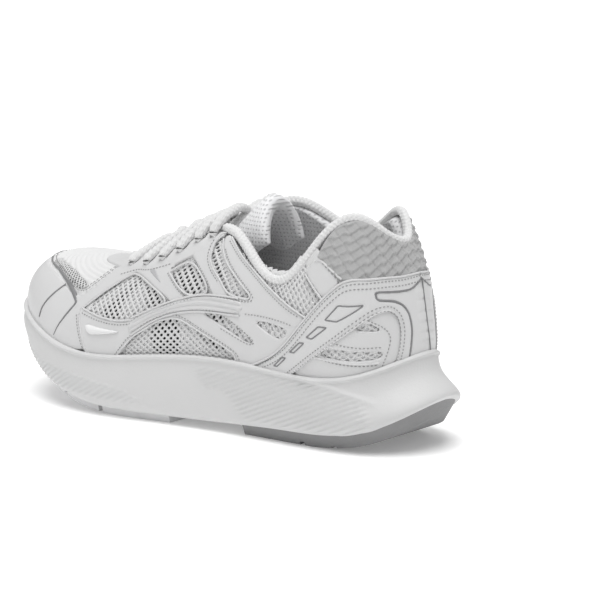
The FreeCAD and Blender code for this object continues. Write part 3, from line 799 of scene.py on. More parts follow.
EYESTAY = [(9.5, 1), (9.45, .87), (9.0, .80), (8.5, .76), (8.2, .73), (7.85, .67), (7.5, .655),
           (7.1, .64), (6.62, .655), (6.3, .73), (6.02, .82), (6.06, .92), (6.02, 1)]
WINDOW_1 = [(8.39, .37), (8.0, .53), (7.6, .64), (7.48, .65), (7.2, .61), (6.33, .43),
            (6.64, .37), (6.95, .31), (7.37, .30), (7.9, .33)]
WINDOW_2 = [(6.60, .62), (6.25, .72), (5.56, .56), (6.06, .47)]
WINDOW_3 = [(5.98, .97), (6.03, .88), (5.98, .82), (5.91, .76), (5.76, .71), (5.53, .68),
            (5.26, .62), (4.81, .69), (4.80, .74), (5.00, .76), (5.24, .78), (5.52, .80),
            (5.77, .85), (5.91, .90)]
LOWER_WINDOW = [(7.30, FOOT), (6.97, .18), (6.71, .24), (6.46, .30), (6.11, .33), (5.57, .25),
                (5.16, .19), (4.93, .14), (4.88, .06), (4.95, FOOT)]
SLIT = [(5.64, .40), (5.25, .37), (4.72, .30), (4.55, .31), (4.62, .35), (5.15, .44), (5.5, .46)]
TRIANGLE = [(4.68, .53), (3.72, .475), (3.96, .37)]
TOE_CAP = [(8.03, FOOT), (8.24, .19), (8.42, .32), (8.42, .38), (8.2, .47), (8.42, .56),
           (8.60, .46), (8.82, .45), (9.3, .50), (10.1, .56), (11, .565), (12, .57)]
MUDGUARD = [(7.27, FOOT), (8.10, FOOT), (8.30, .19), (8.48, .32), (8.44, .37), (8.38, .37),
            *WINDOW_1[:5:-1], (6.5, .33), (6.71, .25), (6.97, .18)]
VAMP_STRUT = [(8.47, .33), (8.39, .37), (8.0, .53), (7.6, .64), (7.45, .66), (7.5, .74),
              (8.26, .78), (8.29, .64), (8.40, .54), (8.66, .45), (8.75, .36)]
FRONT_STRUT = [(7.6, .72), (7.48, .65), (7.2, .61), (6.33, .43), (6.20, .38), (5.95, .43),
               (6.06, .47), (6.60, .62), (6.5, .72), (6.9, .76)]
REAR_STRUT = [(6.4, .76), (6.25, .72), (5.56, .56), (5.45, .50), (5.05, .56),
              *WINDOW_3[6:0:-1], (6.2, .86)]
SIDE_BAND = [(7.1, .30), (6.64, .375), (6.27, .43), (5.76, .52), (5.01, .65), (4.86, .62),
             (4.92, .52), (5.40, .45), (5.81, .40), (6.26, .35), (6.64, .29), (7.05, .19)]
QUARTER = [(7.0, .17), *LOWER_WINDOW[2:], (4.5, FOOT), (3.22, .51), (3.95, .60), (4.95, .57),
           (5.40, .47), (5.81, .42), (6.26, .37), (6.64, .32), (6.95, .24)]
UPPER_QUARTER = [(5.92, .98), (5.33, .93), (4.58, .92), (3.90, .72), (3.30, .51), (3.6, .46),
                 (3.95, .50), (4.72, .55), (4.95, .50), (5.2, .57), *WINDOW_3[6:-1], (5.98, .93)]
STRAP = [(4.63, FOOT), (3.97, .26), (3.33, .52), (2.87, .60), (2.33, .66), (1.47, .66),
         (.81, .695), (.32, .72), (0, .73), (0, .68), (.25, .65), (.59, .60), (1.05, .585),
         (1.62, .57), (1.56, .525), (1.14, .53), (.84, .50), (.68, .43), (.63, .31), (.67, .18),
         (.74, FOOT), (1.10, FOOT), (.97, .21), (.93, .34), (1.02, .43), (1.27, .47),
         (1.67, .44), (2.25, .36), (3.01, .25), (3.74, FOOT)]
STAY = [(0, .70), (.22, .665), (.59, .615), (1.05, .595), (1.64, .582), (1.60, .515),
        (1.14, .52), (.86, .49), (.70, .43), (.65, .31), (.69, .18), (.76, FOOT), (0, FOOT)]
ARCH = [(3.85, FOOT), (3.06, .27), (2.25, .38), (1.67, .46), (1.27, .49), (.98, .45),
        (.88, .35), (.92, .21), (1.05, FOOT)]
ARCH_WEDGE = [(2.2, .365), (1.86, .405), (1.36, .33)]
ARCH_STRIP = [(3.03, .235), (2.82, .29), (1.42, .19), (1.47, .115), (2.59, .185)]
REAR_PATCH = [(3.41, .86), (3.12, .90), (2.98, .87), (2.40, .64), (2.93, .585), (3.16, .70)]
HEEL_TAB = [(3.12, .875), (2.98, .93), (2.77, .965), (2.48, .99), (2.0, .995), (1.65, .995),
            (1.10, .995), (.5, .995), (0, .995)]
HEEL_TAB_FOOT = [(0, .71), (.32, .70), (.81, .675), (1.47, .64), (2.33, .64), (2.53, .66),
                 (2.85, .77)]
TRAPEZOIDS = [
    [(2.84, .46), (2.52, .52), (1.89, .50), (2.55, .43)],
    [(3.29, .38), (3.01, .43), (2.80, .41), (3.16, .36)],
    [(3.68, .28), (3.46, .35), (3.35, .34), (3.59, .27)],
    [(4.05, .11), (3.87, .22), (3.78, .22), (3.98, .11)],
]


def band_relief(flat, inward):
    """Three raised ribs that follow the side band."""
    place, up = from_pattern(flat)
    low = np.interp(place, [4.9, 5.4, 5.81, 6.26, 6.64, 7.1], [.52, .45, .40, .35, .29, .18])
    high = np.interp(place, [4.9, 5.76, 6.27, 6.64, 7.1], [.66, .52, .43, .375, .31])
    share = (up - low) / (high - low)
    return .8 * (.5 - .5 * np.cos(2 * np.pi * 3 * share)) * eased(inward, .5, 1.1)


def strap_relief(flat, inward):
    """Pressed trapezoids with a groove round each."""
    height = 0 * inward
    for corners in TRAPEZOIDS:
        gap = Outline(corners, 2, .05).distance(flat)
        height = height - .45 * np.exp(-(gap / .5)**2)
    return height


def stay_relief(flat, inward):
    """Low bars across the middle of the heel stay."""
    place, up = from_pattern(flat)
    near = 1 - eased(from_heel(place), .30, .42)
    part = np.mod(flat[..., 1] / 5.2, 1)
    bars = eased(part, 0, .22) * (1 - eased(part, .78, 1))
    return .4 * bars * near * eased(up, .12, .18) * (1 - eased(up, .60, .66))


def scale_relief(flat, inward):
    """Slanted scales in rows, each with a raised lower lip and a dark gap behind it."""
    bow = .14 * np.sin(2 * np.pi * flat[..., 0] / 7.0 + 1.4 * flat[..., 1])
    row = flat[..., 1] / 4.4 + .03 * flat[..., 0] + bow
    slant = (flat[..., 0] - .7 * flat[..., 1]) / 6.8
    lip = np.exp(-((np.mod(row, 1) - .12) * 4.4 / .42)**2)
    gap = np.exp(-((np.mod(slant, 1) - .5) * 6 / .42)**2)
    return (.55 * lip + .35 * (1 - np.mod(row, 1)) - .4 * gap) * eased(inward, .4, 1.4)


def add_overlays():
    cap = TOE_CAP + turned(TOE_CAP[:-1])[::-1]
    overlay("toe_cap", cap, nodes=["toe_cap"])
    pair("mudguard", MUDGUARD, ["mudguard"], height=1.0)
    pair("vamp_strut", VAMP_STRUT, ["vamp_strut"])
    pair("front_strut", FRONT_STRUT, ["front_strut"])
    pair("rear_strut", REAR_STRUT, ["rear_strut"])
    pair("quarter_panel", QUARTER, height=1.0, holes=[SLIT, TRIANGLE])
    pair("upper_quarter_panel", UPPER_QUARTER, height=1.05)
    pair("side_band", SIDE_BAND, ["side_band"], height=1.35, relief=band_relief, step=.5)
    pair("eyestay", EYESTAY, ["eyestay"], step=.6,
         holes=[disc(*hole, EYELET_RADIUS) for hole in EYELETS])
    pair("heel_patch", ARCH, ["heel_patch"], height=.95, holes=[ARCH_WEDGE, ARCH_STRIP])
    pair("quarter_strap", STRAP, ["quarter_strap", "heel_cross_band"], height=1.7,
         relief=strap_relief, step=.5)
    overlay("heel_stay", STAY + [(-p, t) for p, t in STAY[-2:0:-1]], height=1.45,
            relief=stay_relief, nodes=["heel_stay_lateral", "heel_stay_medial"])
    pair("rear_quarter_patch", REAR_PATCH, ["rear_quarter_patch"], height=1.0)
    tab = HEEL_TAB + [(-p, t) for p, t in HEEL_TAB[-2::-1]]
    tab += [(-p, t) for p, t in HEEL_TAB_FOOT[::-1]] + HEEL_TAB_FOOT[1:]
    overlay("heel_tab", tab, nodes=["heel_tab"], relief=scale_relief, material=TAB_CLOTH,
            step=.4, height=.9)


add_overlays()

# ---- open mesh and what lies behind it ------------------------------------------------------

PITCH = 2.97
HOLE_SHARE = .62
QUARTER_WINDOW = [(6.0, 1), (5.33, .925), (4.58, .905), (3.90, .71), (3.3, .50), (2.85, .57),
                  (3.16, .70), (3.40, .87), (3.5, 1), (4.5, 1)]
QUARTER_SHEET = [(.12, -.05), (8.75, -.05), (8.75, .62), (8.3, .72), (7.5, .82), (6.3, .94),
                 (5, .97), (3, .965), (.12, .93)]
# Patches of painted shade on the backing behind the open mesh; these patches also sit further back.
PAINTED_SHADE_PATCHES = [
    [(8.0, .36), (7.72, .46), (7.30, .62), (7.18, .60), (7.50, .44), (7.34, .30)],
    [(7.10, .585), (6.80, .37), (6.48, .40), (6.80, .55)],
    [(6.55, .60), (6.28, .70), (5.86, .61), (5.84, .52), (6.06, .48)],
    [(6.66, .24), (6.48, FOOT), (6.02, FOOT), (6.08, .32), (6.40, .32)],
    [(5.86, .33), (5.75, .27), (5.41, .12), (5.08, .14), (5.61, .30)],
    [(5.70, .42), (5.26, .36), (5.24, .45), (5.6, .47)],
    [(6.03, .90), (5.98, .80), (5.60, .68), (5.52, .70), (5.80, .78), (5.93, .86)],
]
TOE_HOLES = [(8.52, .53), (8.86, .505), (9.64, .58), (10.8, .62), (10.8, .70), (9.6, .66),
             (8.9, .59)]


def diamond_cells(low, high, pitch):
    """Centres of a square lattice turned by 45 degrees."""
    half = pitch / 2**.5
    counts = [int((b - a) / half) + 1 for a, b in zip(low, high)]
    i, j = np.meshgrid(*[np.arange(n) for n in counts], indexing="ij")
    picked = (i + j) % 2 == 0
    return np.stack([low[0] + i[picked] * half, low[1] + j[picked] * half], -1)


def open_mesh(name, sheet, windows, nodes=(), thickness=.9, pitch=PITCH, lift=0.):
    """A knitted sheet of diamond cells, with a round hole in each cell inside a window."""
    outline = Outline(sheet)
    centres = diamond_cells(outline.flat.min(0), outline.flat.max(0), pitch)
    centres = centres[outline.distance(centres) < 0]
    opened = np.zeros(len(centres), bool)
    for window in windows:
        opened |= Outline(window).distance(centres) < .9
    turn = angles(12)
    ring = np.stack([np.cos(turn), np.sin(turn)], -1)
    diamond = ring * (pitch / 2**.5 / np.abs(ring).sum(1))[:, None]
    outer = centres[:, None] + diamond
    keys = np.round(outer.reshape(-1, 2) * 100 + .013).astype(np.int64)
    _, first, index = np.unique(keys, axis=0, return_index=True, return_inverse=True)
    corners, index = outer.reshape(-1, 2)[first], index.reshape(-1, 12)
    rims = (centres[opened][:, None] + ring * pitch * HOLE_SHARE / 2).reshape(-1, 2)
    many, few = len(corners), len(rims)
    total = many + few
    layers = ((corners, lift), (rims, lift - .3), (corners, lift - thickness),
              (rims, lift - thickness + .1))
    points = np.vstack([spot(*from_pattern(flat), 0 * flat[:, 0] + out) for flat, out in layers])
    o, o2 = index[opened], np.roll(index[opened], -1, 1)
    r = many + np.arange(few).reshape(-1, 12)
    r2 = np.roll(r, -1, 1)
    quads = [np.stack(q, -1).reshape(-1, 4) for q in (
        (r, r2, o2, o), (o + total, o2 + total, r2 + total, r + total),
        (r2, r, r + total, r2 + total))]
    closed = index[~opened]
    edges = np.stack([np.roll(index, -1, 1), index], -1).reshape(-1, 2)
    quads.append(rim_walls(edges, total))
    faces = np.concatenate(quads).tolist() + closed[:, ::-1].tolist() + (closed + total).tolist()
    make(name, points, faces, MESH, nodes)


def set_painted_shade(piece, values):
    """How dark each point of the textile is painted, as painted shade."""
    tone = piece.data.attributes.new("tone", "FLOAT", "POINT")
    tone.data.foreach_set("value", np.asarray(values, np.float32))


def add_backing(side, turn):
    """Textile behind the open mesh, with painted shade where it stands away from it."""
    outline = Outline(turn(QUARTER_SHEET))
    first, final, low, high = span_of(turn(QUARTER_SHEET))
    place, up = np.meshgrid(np.linspace(first, final, 260), np.linspace(low, .97, 60),
                            indexing="ij")
    flat = to_pattern(place, up)
    middle = (flat[:-1, :-1] + flat[1:, 1:]) / 2
    kept = outline.distance(middle) < -1
    # Painted shade inside the patches, which also push the backing further back.
    tone = np.zeros(place.shape)
    for patch in PAINTED_SHADE_PATCHES:
        tone = np.maximum(tone, 1 - eased(Outline(turn(patch), 2).distance(flat), -.6, .6))
    points = np.concatenate([spot(place, up, -1.0 - .7 * tone).reshape(-1, 3),
                             spot(place, up, -1.95).reshape(-1, 3)])
    used, faces = shell_faces(kept, *place.shape)
    piece = make(f"mesh_backing_{side}", points[used], faces, BACKING)
    set_painted_shade(piece, np.tile(tone.ravel(), 2)[used])


def add_quarter(side, turn):
    """One side's open mesh, with holes only where a window shows them."""
    windows = [WINDOW_1, WINDOW_2, WINDOW_3, LOWER_WINDOW, SLIT, TRIANGLE, ARCH_WEDGE,
               ARCH_STRIP, QUARTER_WINDOW]
    open_mesh(f"quarter_mesh_{side}_knit", turn(QUARTER_SHEET), [turn(w) for w in windows],
              [f"quarter_mesh_{side}"])
    add_backing(side, turn)


def weld(points, faces):
    """Joins points that lie on each other."""
    keys = np.round(points * 500).astype(np.int64)
    _, first, index = np.unique(keys, axis=0, return_index=True, return_inverse=True)
    faces = index.reshape(-1)[faces]
    whole = (np.diff(np.sort(faces, 1), axis=1) > 0).all(1)
    return first, faces[whole]


def add_vamp():
    """The forefoot textile in one piece, corded along the foot, with two rows of holes."""
    rows, half = 190, 76
    place = np.linspace(8.2, TOE, rows)
    rise = np.linspace(.36, 1, half)
    side = np.concatenate([np.ones(half), -np.ones(half)])
    up = np.concatenate([rise, rise[::-1]])[None] + 0 * place[:, None]
    where = np.where(side > 0, place[:, None], ROUND - place[:, None])
    level = up * np.interp(place, PLACES, RIB_LENGTHS)[:, None]
    lateral_flat = to_pattern(place[:, None] + 0 * up, up)
    cords = .28 * np.cos(2 * np.pi * (level - 4.2 * (place[:, None] - 8.8)) / 2.9)
    pits = 1 - eased(Outline(TOE_HOLES, 2).distance(lateral_flat), -.8, .4)
    fade = eased(up, .40, .46)
    out = .25 + (cords * (1 - pits) - .8 * pits) * fade
    outer = spot(where, up, out).reshape(-1, 3)
    inner = spot(where, up, -1.1 + 0 * up).reshape(-1, 3)
    grid = grid_faces(rows, 2 * half)
    crossing = (grid[:, 0] % (2 * half)) == half - 1
    first, faces = weld(spot(where, up, 0 * up).reshape(-1, 3), grid[~crossing][:, ::-1])
    total = len(first)
    faces = np.concatenate([faces, faces[:, ::-1] + total, rim_walls(quad_edges(faces), total)])
    piece = make("vamp_mesh_corded", np.vstack([outer[first], inner[first]]), faces, VAMP_TEXTILE,
                 ["vamp_mesh"])
    # Painted shade in the two rows of holes, from the mask that also sinks them.
    set_painted_shade(piece, np.tile(pits.reshape(-1)[first], 2))


add_quarter("lateral", list)
add_quarter("medial", turned)
add_vamp()
for side, turn in (("lateral", list), ("medial", turned)):
    open_mesh(f"toe_mesh_{side}", turn(TOE_HOLES), [turn(TOE_HOLES)], thickness=.6, pitch=2.1,
              lift=.45)

# ---- lines of thread, weld and trim ---------------------------------------------------------

STRAND_SIDES = 6
STITCH, STITCH_GAP = 1.25, .8
STITCH_HEIGHTS = np.array([-.12, .1, .16, .16, .1, -.12])
STITCH_WIDTHS = [.14, .28, .31, .31, .28, .14]


def traced(corners, turn=list, step=1., rounds=3, cut=.22):
    """An evenly stepped line in the flat pattern through (place, level) corners."""
    line = np.array(turn(corners), float)
    flat = rounded(to_pattern(line[:, 0], line[:, 1]), rounds, cut, closed=False)
    return spread(flat, max(3, int(line_lengths(flat)[-1] / step) + 1))


def beside(flat, distance):
    """The same line, moved sideways in the pattern."""
    run = unit(np.gradient(flat, axis=0))
    return flat + np.stack([-run[:, 1], run[:, 0]], -1) * distance


def strand_on(flat, out, half_width, half_height):
    """Points and faces of a strand that lies on the upper along a flat line."""
    place, up = from_pattern(flat)
    path = spot(place, up, out + 0 * place)
    normal = facing(place, up)
    run = unit(np.gradient(path, axis=0))
    half_width = np.broadcast_to(half_width, (len(path),))[:, None, None]
    offsets = rings(np.cross(run, normal), normal, angles(STRAND_SIDES), half_width, half_height)
    return (path[:, None] + offsets).reshape(-1, 3), tube_faces(len(path), STRAND_SIDES)


def gather(name, parts, material, nodes=()):
    """One object from many (points, faces)."""
    points, faces, start = [], [], 0
    for part_points, part_faces in parts:
        points.append(part_points)
        faces += [[start + n for n in face] for face in part_faces]
        start += len(part_points)
    return make(name, np.vstack(points), faces, material, nodes)


def stitches(flat, out):
    """A row of separate stitches along a flat line."""
    count = max(1, int(line_lengths(flat)[-1] / (STITCH + STITCH_GAP)))
    fine = spread(flat, count * 8 + 1)
    return [strand_on(fine[start:start + 6], out + STITCH_HEIGHTS, STITCH_WIDTHS, .18)
            for start in range(0, count * 8, 8)]


# Welded edges: raised bright lines. Each has its corners and its height.
WELDS = [
    ([(8.03, .01), (8.24, .19), (8.42, .32)], 1.05),
    (WINDOW_1 + WINDOW_1[:1], 1.0),
    (WINDOW_2 + WINDOW_2[:1], 1.0),
    ([(6.0, .95), (6.05, .88), *WINDOW_3[2:-1], (5.95, .92)], 1.0),
    ([(7.30, 0), *LOWER_WINDOW[1:-1], (4.92, 0)], 1.0),
    ([(6.98, .195), (6.64, .285), (6.26, .345), (5.81, .395), (5.40, .445), (4.90, .52)], 1.3),
    ([(7.05, .32), (6.64, .38), (6.27, .435), (5.76, .525), (5.01, .655)], 1.3),
    ([(5.84, .965), (5.33, .93), (4.58, .92), (3.90, .72), (3.33, .52)], 1.05),
    ([(4.61, .01), (3.97, .265), (3.33, .52), (2.87, .60), (2.33, .66), (1.47, .66),
      (.81, .695), (.32, .722), (0, .73)], 1.6),
    ([(3.76, .0), (3.20, .22), (2.25, .365), (1.68, .445), (1.27, .475), (1.02, .435),
      (.93, .34), (.96, .21), (1.09, .0)], 1.5),
    ([(3.12, .87), (2.98, .85), (2.44, .66)], 1.05),
    ([(3.39, .85), (3.16, .70), (2.93, .59)], 1.0),
    ([(3.16, .23), (2.60, .17), (2.06, .12), (1.51, .08)], 1.0),
]
# Rows of stitching: corners, height, and how far each row is set off from the line.
SEAMS = [
    ([(8.10, .01), (8.32, .19), (8.50, .32)], 1.15, (0, 1.6)),
    ([(12, .605), (10.1, .595), (9.3, .545), (8.82, .49), (8.60, .49), (8.45, .56), (8.33, .65),
      (8.27, .74)], 1.15, (0, -2.2)),
    ([(8.36, .335), (7.9, .30), (7.37, .27), (6.95, .28), (6.64, .335)], 1.05, (0,)),
    ([(6.60, .645), (6.26, .745), (5.48, .56), (6.04, .445), (6.64, .62)], 1.15, (0,)),
    ([(5.46, .56), (5.2, .60), (4.76, .675), (4.70, .74), (5.00, .785), (5.24, .80),
      (5.52, .825), (5.77, .875)], 1.1, (0,)),
    ([(6.10, .88), (6.03, .80), (5.95, .745), (5.78, .69), (5.53, .655)], 1.15, (0,)),
    ([(7.36, .0), (7.03, .19), (6.73, .262), (6.46, .322), (6.11, .352), (5.55, .272),
      (5.12, .21), (4.86, .15), (4.80, .05)], 1.05, (0,)),
    ([(6.98, .225), (6.64, .30), (6.26, .365), (5.81, .415), (5.40, .465), (4.95, .54)], 1.4,
     (0,)),
    ([(6.98, .31), (6.62, .362), (6.25, .417), (5.74, .505), (5.05, .63)], 1.4, (0,)),
    ([(5.66, .43), (5.25, .455), (4.62, .37), (4.48, .31), (4.68, .28), (5.26, .345)], 1.05, (0,)),
    ([(4.80, .56), (3.66, .50)], 1.1, (0,)),
    ([(5.80, .935), (5.33, .905), (4.62, .885), (3.94, .69), (3.50, .545)], 1.1, (0, -1.9)),
    ([(4.53, .01), (3.90, .255), (3.28, .495), (2.86, .575), (2.33, .635), (1.47, .638),
      (.81, .672), (.32, .70), (0, .708)], 1.75, (0, 2.3)),
    ([(3.86, .0), (3.24, .245), (2.27, .395), (1.70, .475), (1.25, .50), (.95, .45),
      (.85, .34), (.88, .21), (1.0, .0)], 1.72, (0, 2.0)),
    ([(2.5, .655), (2.96, .83)], 1.1, (0,)),
    ([(2.99, .60), (3.21, .71), (3.43, .86)], 1.05, (0,)),
    ([(3.10, .225), (2.60, .155), (2.06, .105), (1.55, .065)], 1.0, (0,)),
    ([(1.90, .42), (1.42, .36), (1.25, .30), (1.24, .24), (1.42, .07), (1.5, .0)], 1.0, (0,)),
    ([(2.75, .315), (1.45, .215)], 1.0, (0,)),
    ([(7.9, .655), (7.5, .685), (7.15, .655), (6.66, .68)], 1.15, (0,)),
]
# Grey lines: the outline of the T on the heel and the pressed marks. Each has its corners, its
# height and its width.
GREY_LINES = [
    ([(.0, .69), (.22, .655), (.55, .61), (1.0, .592), (1.63, .577), (1.61, .55),
      (1.57, .525), (1.14, .532), (.84, .502), (.68, .43), (.63, .31), (.67, .18), (.73, .01)],
     1.55, .55),
] + [(corners + corners[:1], 1.42, .38) for corners in TRAPEZOIDS]
TOE_TRIM = [(11.4, .60), (10.6, .595), (9.9, .575), (9.3, .515), (8.95, .455), (8.70, .40),
            (8.68, .385), (8.82, .28), (8.96, .17), (9.10, .04), (9.06, .04), (8.90, .17),
            (8.74, .28), (8.60, .385), (8.62, .415), (8.84, .475), (9.25, .545), (9.9, .60),
            (10.6, .615), (11.4, .613)]
TRIM_BRANCH = [([(9.28, .50), (9.50, .34), (9.62, .22), (9.66, .12)], 1.3, .5)]
EYESTAY_MARK = [(7.20, .665), (7.02, .675), (6.60, .535), (6.50, .50), (6.62, .53)]
ACCENT = [(8.16, .255), (8.12, .22), (8.02, .185), (7.86, .188), (7.3, .212), (7.24, .22),
          (7.3, .228), (7.83, .25), (8.04, .262)]


WELD_WIDTH, WELD_HEIGHT = .62, .50
SHARP_CUT, SOFT_CUT = .05, .22
BACK_SEAM = [(0, .68), (.08, .53), (.08, .32), (-.06, .01)]


def add_lines():
    """Weld lines, stitching, grey lines and the small inlays, on both sides."""
    welds, threads, greys = [], [], []
    for turn in (list, turned):
        for corners, height in WELDS:
            welds.append(strand_on(traced(corners, turn), height, WELD_WIDTH, WELD_HEIGHT))
        for corners, height, rows in SEAMS:
            line = traced(corners, turn)
            for offset in rows:
                shifted = beside(line, offset if turn is list else -offset)
                threads += stitches(shifted, height)
        for corners, height, width in GREY_LINES + TRIM_BRANCH:
            cut = SHARP_CUT if len(corners) == 5 else SOFT_CUT
            greys.append(strand_on(traced(corners, turn, .6, 2, cut), height, width, .28))
    greys.append(strand_on(traced(BACK_SEAM), 1.9, .35, .3))
    gather("weld_lines", welds, SYNTHETIC)
    gather("stitching", threads, PAINTED_SHADE_THREAD)
    gather("grey_lines", greys, TRIM)
    pair("toe_trim", TOE_TRIM, ["toe_trim"], height=1.45, material=TRIM, step=.4, rounds=2)
    pair("eyestay_mark", EYESTAY_MARK, height=1.3, material=TRIM_PALE, step=.4, rounds=1)
    pair("accent", ACCENT, ["accent"], height=1.5, step=.3, material=PUFF,
         relief=lambda flat, inward: 1.5 * (1 - np.exp(-inward / 1.3)))


add_lines()

# ---- collar, lining, tongue and lace --------------------------------------------------------

BINDING_RADIUS = 2.7
BINDING_END = 6.5
THIN_FOAM, FOAM_SWELL = 3.7, 5
LINING_END, LINING_TOP, LINING_OUTER = 6.85, .985, -2.95


def add_binding():
    """The round knitted edge of the collar, with ribs of yarn; its ends lie on the eyestays."""
    rows, around = 1100, 30
    place = np.linspace(-BINDING_END, BINDING_END, rows)
    path = spot(place, 1, -1.5 + 1.1 * eased(np.abs(place), 6.0, 6.5))
    path[:, 2] += 1.0
    _, level, upright = frames_along(path)
    length = line_lengths(path)
    reach = np.minimum(length, length[-1] - length)
    radius = BINDING_RADIUS * (.86 + .14 * eased(np.abs(place), 3, 6))
    radius *= (1 - .22 * eased(np.abs(place), 6, BINDING_END))
    radius *= np.sqrt(1 - (1 - np.clip(reach / 3.2, 0, 1))**2) + .02
    turn = angles(around)
    yarn = .10 * np.cos(2 * np.pi * length[:, None] / 2.3 + 2 * np.sin(turn)) * np.cos(5 * turn)
    yarn += .05 * np.cos(5 * turn + .5)
    ring = rings(level, upright, turn, 1, 1)
    points = path[:, None] + ring * (radius[:, None] * (1 + yarn))[..., None]
    make("collar_binding_knit", points.reshape(-1, 3), tube_faces(rows, around), KNIT,
         ["collar_binding"])


def foam_depth(place, up):
    """Thickness of the collar foam: full behind the ankle, thin below it and toward the lace."""
    return THIN_FOAM + FOAM_SWELL * eased(up, .2, .62) * (1 - eased(from_heel(place), 4.6, 6.2))


def add_collar_lining():
    """Padded heel lining: a dimpled knit that swells toward the ankle."""
    places = np.linspace(LINING_END, -LINING_END, 40)
    corners = [(v, LINING_TOP) for v in places] + [(v, -.04) for v in places[::-1]]
    outline = Outline(corners, 1, .1)

    def swell(flat, inward):
        place, up = from_pattern(flat)
        dots = np.cos(2 * np.pi * flat[..., 0] / 4.4) * np.cos(2 * np.pi * flat[..., 1] / 3.6)
        return -foam_depth(place, up) - .9 + .35 * eased(dots, .2, .8) * eased(inward, .5, 3)

    piece = cut_sheet("collar_lining", span_of(corners), outline.distance, flush(LINING_OUTER),
                      swell, LINING, .9, ["heel_lining", "collar_padding"])


# The tongue's middle line, from the throat to the rear rim, as (x, z).
TONGUE_LINE = [(82, 76.5), (62, 78), (40, 86.5), (18, 94.8), (2, 100), (-11, 105.5),
               (-18, 111.5), (-24.5, 118), (-31, 123), (-37.5, 126.5)]
TONGUE_THICK, FLAP_EXTRA = 3.0, 5.5


def flap_share(x):
    """0 on the flat tongue under the lace, 1 on the arched flap behind it."""
    return eased(-x, 10, 27)


def tongue_face(line, share):
    """Points of the tongue's face, share -1 to 1 across it, at each point of its middle line."""
    x, z = line[:, 0, None], line[:, 2, None]
    flap = flap_share(x)
    flat = (9 + 12 * eased(-x, -75, 5)) * share
    lean = np.radians(88) * share
    y = flat * (1 - flap) + 18.8 * np.sin(lean) * flap
    drop = .019 * flat**2 * (1 - flap) + 27 * (1 - np.cos(lean)) * flap
    return np.stack([x - .25 * drop * flap, y, z - drop], -1)


def add_tongue():
    """One padded piece: thin under the lace, thick and arched where it meets the ankle."""
    rows, around = 300, 140
    line = spread(spline([(x, 0, z) for x, z in TONGUE_LINE], 20), rows)
    flap = flap_share(line[:, 0])
    thick = TONGUE_THICK + FLAP_EXTRA * flap
    length = line_lengths(line)
    ends = np.sqrt(1 - (1 - np.clip((length[-1] - length) / 4.4, 0, 1))**2)
    ends *= np.sqrt(1 - (1 - np.clip(length / 1.5, 0, 1))**2)
    turn = angles(around)
    share = np.cos(turn)[None]
    lift = (np.sign(np.sin(turn)) * np.abs(np.sin(turn))**.55)[None]
    face = tongue_face(line, share)
    across = tongue_face(line, share + .01) - tongue_face(line, share - .01)
    normal = unit(np.cross(across, np.gradient(face, axis=0)))
    normal *= np.sign(normal[..., 2:].mean())
    dots = np.cos(2 * np.pi * length[:, None] / 3.4) * np.cos(2 * np.pi * 20 * share / 3.8)
    channel = np.exp(-((np.abs(share) - .5) / .04)**2) * (1 - flap[:, None])
    relief = (-.3 * eased(dots, .3, .9) - .6 * channel) * ends[:, None]
    body = lift * thick[:, None] / 2 * ends[:, None] + relief * lift
    points = face + normal * (body - thick[:, None] / 2)[..., None]
    piece = make("tongue_padded", points.reshape(-1, 3), tube_faces(rows, around), TONGUE_KNIT,
                 ["tongue_base", "tongue_flap_padding", "tongue_flap_face", "tongue_flap_lining"])
    # It is taken off the root body and keeps no rig_body mark.
    piece.parent = None
    del piece["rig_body"]
    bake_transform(piece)


LACE_WIDTH, LACE_HEIGHT = 6.2, 5.0


def eyelet(side, number, out):
    """The point this far out of an eyelet, on the lateral side (1) or the medial side (-1)."""
    place, up = EYELETS[number]
    return spot(place if side > 0 else ROUND - place, up, out)


def edge(side, number, out, rise):
    """A point over the throat's edge, or under it, level with an eyelet."""
    place = EYELETS[number][0] + .08
    return spot(place if side > 0 else ROUND - place, 1.0, out) + (0, 0, rise)


def lace_route(side, first, last_hole, lift):
    """One run of lace: out of an eyelet, over the edge and the tongue, under the other edge."""
    start, over = eyelet(side, first, 2.4), edge(side, first, 1.4, 3.6)
    if last_hole == first:
        ends = [edge(-side, first, 1.4, 3.6), eyelet(-side, first, 2.4), eyelet(-side, first, -2)]
    else:
        ends = [edge(-side, last_hole, -3.2, -2.2), edge(-side, last_hole, -5.0, -8)]
    middle = (over + ends[0]) / 2
    tongue = np.interp(-middle[0], [-x for x, _ in TONGUE_LINE], [z for _, z in TONGUE_LINE])
    crown = max(tongue + LACE_HEIGHT / 2 + .6, middle[2] + 1) + lift
    rise = np.array([0, 0, (crown - middle[2]) * .8])
    points = [eyelet(side, first, -2), start, over, over * .7 + ends[0] * .3 + rise,
              (middle[0], middle[1], crown), over * .3 + ends[0] * .7 + rise * .8, *ends]
    return spread(spline(np.array(points), 16), 170)


def add_lace():
    """The braided lace: a bar at the bottom, then crossings up to the collar."""
    runs = [(1, 0, 0, 0)]
    for number in range(1, len(EYELETS)):
        runs += [(1, number, number - 1, LACE_HEIGHT + .4), (-1, number, number - 1, 0)]
    parts = []
    around = 24
    turn = angles(around)
    for run in runs:
        path = lace_route(*run)
        length = line_lengths(path)
        phase = 2 * np.pi * length[:, None] / 3.1
        braid = 1 + .045 * (np.cos(phase + 3 * turn) + np.cos(phase - 3 * turn))
        _, level, upright = frames_along(path)
        narrow = .55 + .45 * eased(np.minimum(length, length[-1] - length), 0, 6)
        ring = rings(level, upright, turn, LACE_WIDTH / 2, LACE_HEIGHT / 2)
        points = path[:, None] + ring * (braid * narrow[:, None])[..., None]
        parts.append((points.reshape(-1, 3), tube_faces(len(path), around)))
    gather("lace_braided", parts, LACE, ["lace"])


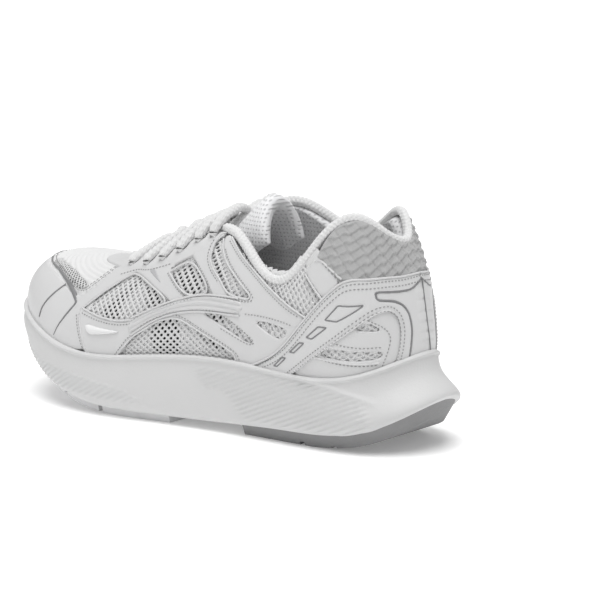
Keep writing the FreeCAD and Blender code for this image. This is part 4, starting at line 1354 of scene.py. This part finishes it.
add_binding()
add_collar_lining()
add_tongue()
add_lace()
for node, material in (("vamp_lining", LINING), ("strobel_board", BOARD), ("toe_puff", BOARD),
                       ("heel_counter", BOARD), ("sockliner", SOCKLINER)):
    frame["nodes"][node].material_slots[0].material = material

# ---- floor and light ------------------------------------------------------------------------

FLOOR_HALF = 60000
LIGHT_AIM = Vector((0, 0, .05))
SUN_FROM = Vector((-.2, .3, 1.6))
SUN_STRENGTH, SUN_ANGLE = 2.6, .8
WORLD_STRENGTH, FLOOR_GLOW = .31, .17


def add_light(name, place, power, width):
    """A soft square light that looks at the shoe."""
    lamp = bpy.data.lights.new(name, "AREA")
    lamp.energy, lamp.size = power, width
    thing = added(name, lamp)
    thing.location = place
    thing.rotation_euler = (LIGHT_AIM - Vector(place)).to_track_quat("-Z", "Y").to_euler()


def add_stage():
    """Pale floor, a soft white world and large soft lights."""
    surface = Surface("studio_floor", (.93, .93, .93), .7, specular=.2)
    surface.tint(surface.noise(400, 1), .995, 1)
    surface.shader.inputs["Emission Color"].default_value = (1, 1, 1, 1)
    surface.shader.inputs["Emission Strength"].default_value = FLOOR_GLOW
    corners = [(FLOOR_HALF * x, FLOOR_HALF * y, 0)
               for x, y in ((-1, -1), (1, -1), (1, 1), (-1, 1))]
    mesh = bpy.data.meshes.new("floor")
    mesh.from_pydata((np.array(corners) * MM).tolist(), [], [(0, 1, 2, 3)])
    mesh.materials.append(surface.material)
    added("floor", mesh)
    world = bpy.data.worlds.new("studio")
    world.use_nodes = True
    sky = world.node_tree.nodes["Background"]
    sky.inputs["Color"].default_value = (1, 1, 1, 1)
    sky.inputs["Strength"].default_value = WORLD_STRENGTH
    bpy.context.scene.world = world
    lamp = bpy.data.lights.new("key", "SUN")
    lamp.energy, lamp.angle = SUN_STRENGTH, SUN_ANGLE
    added("key", lamp).rotation_euler = SUN_FROM.to_track_quat("Z", "Y").to_euler()
    add_light("side", (.9, 1.5, .9), 2, 1.2)
    add_light("back", (.6, -1.2, 1.2), 5, .8)
    bpy.context.scene.view_settings.view_transform = "Standard"


add_stage()
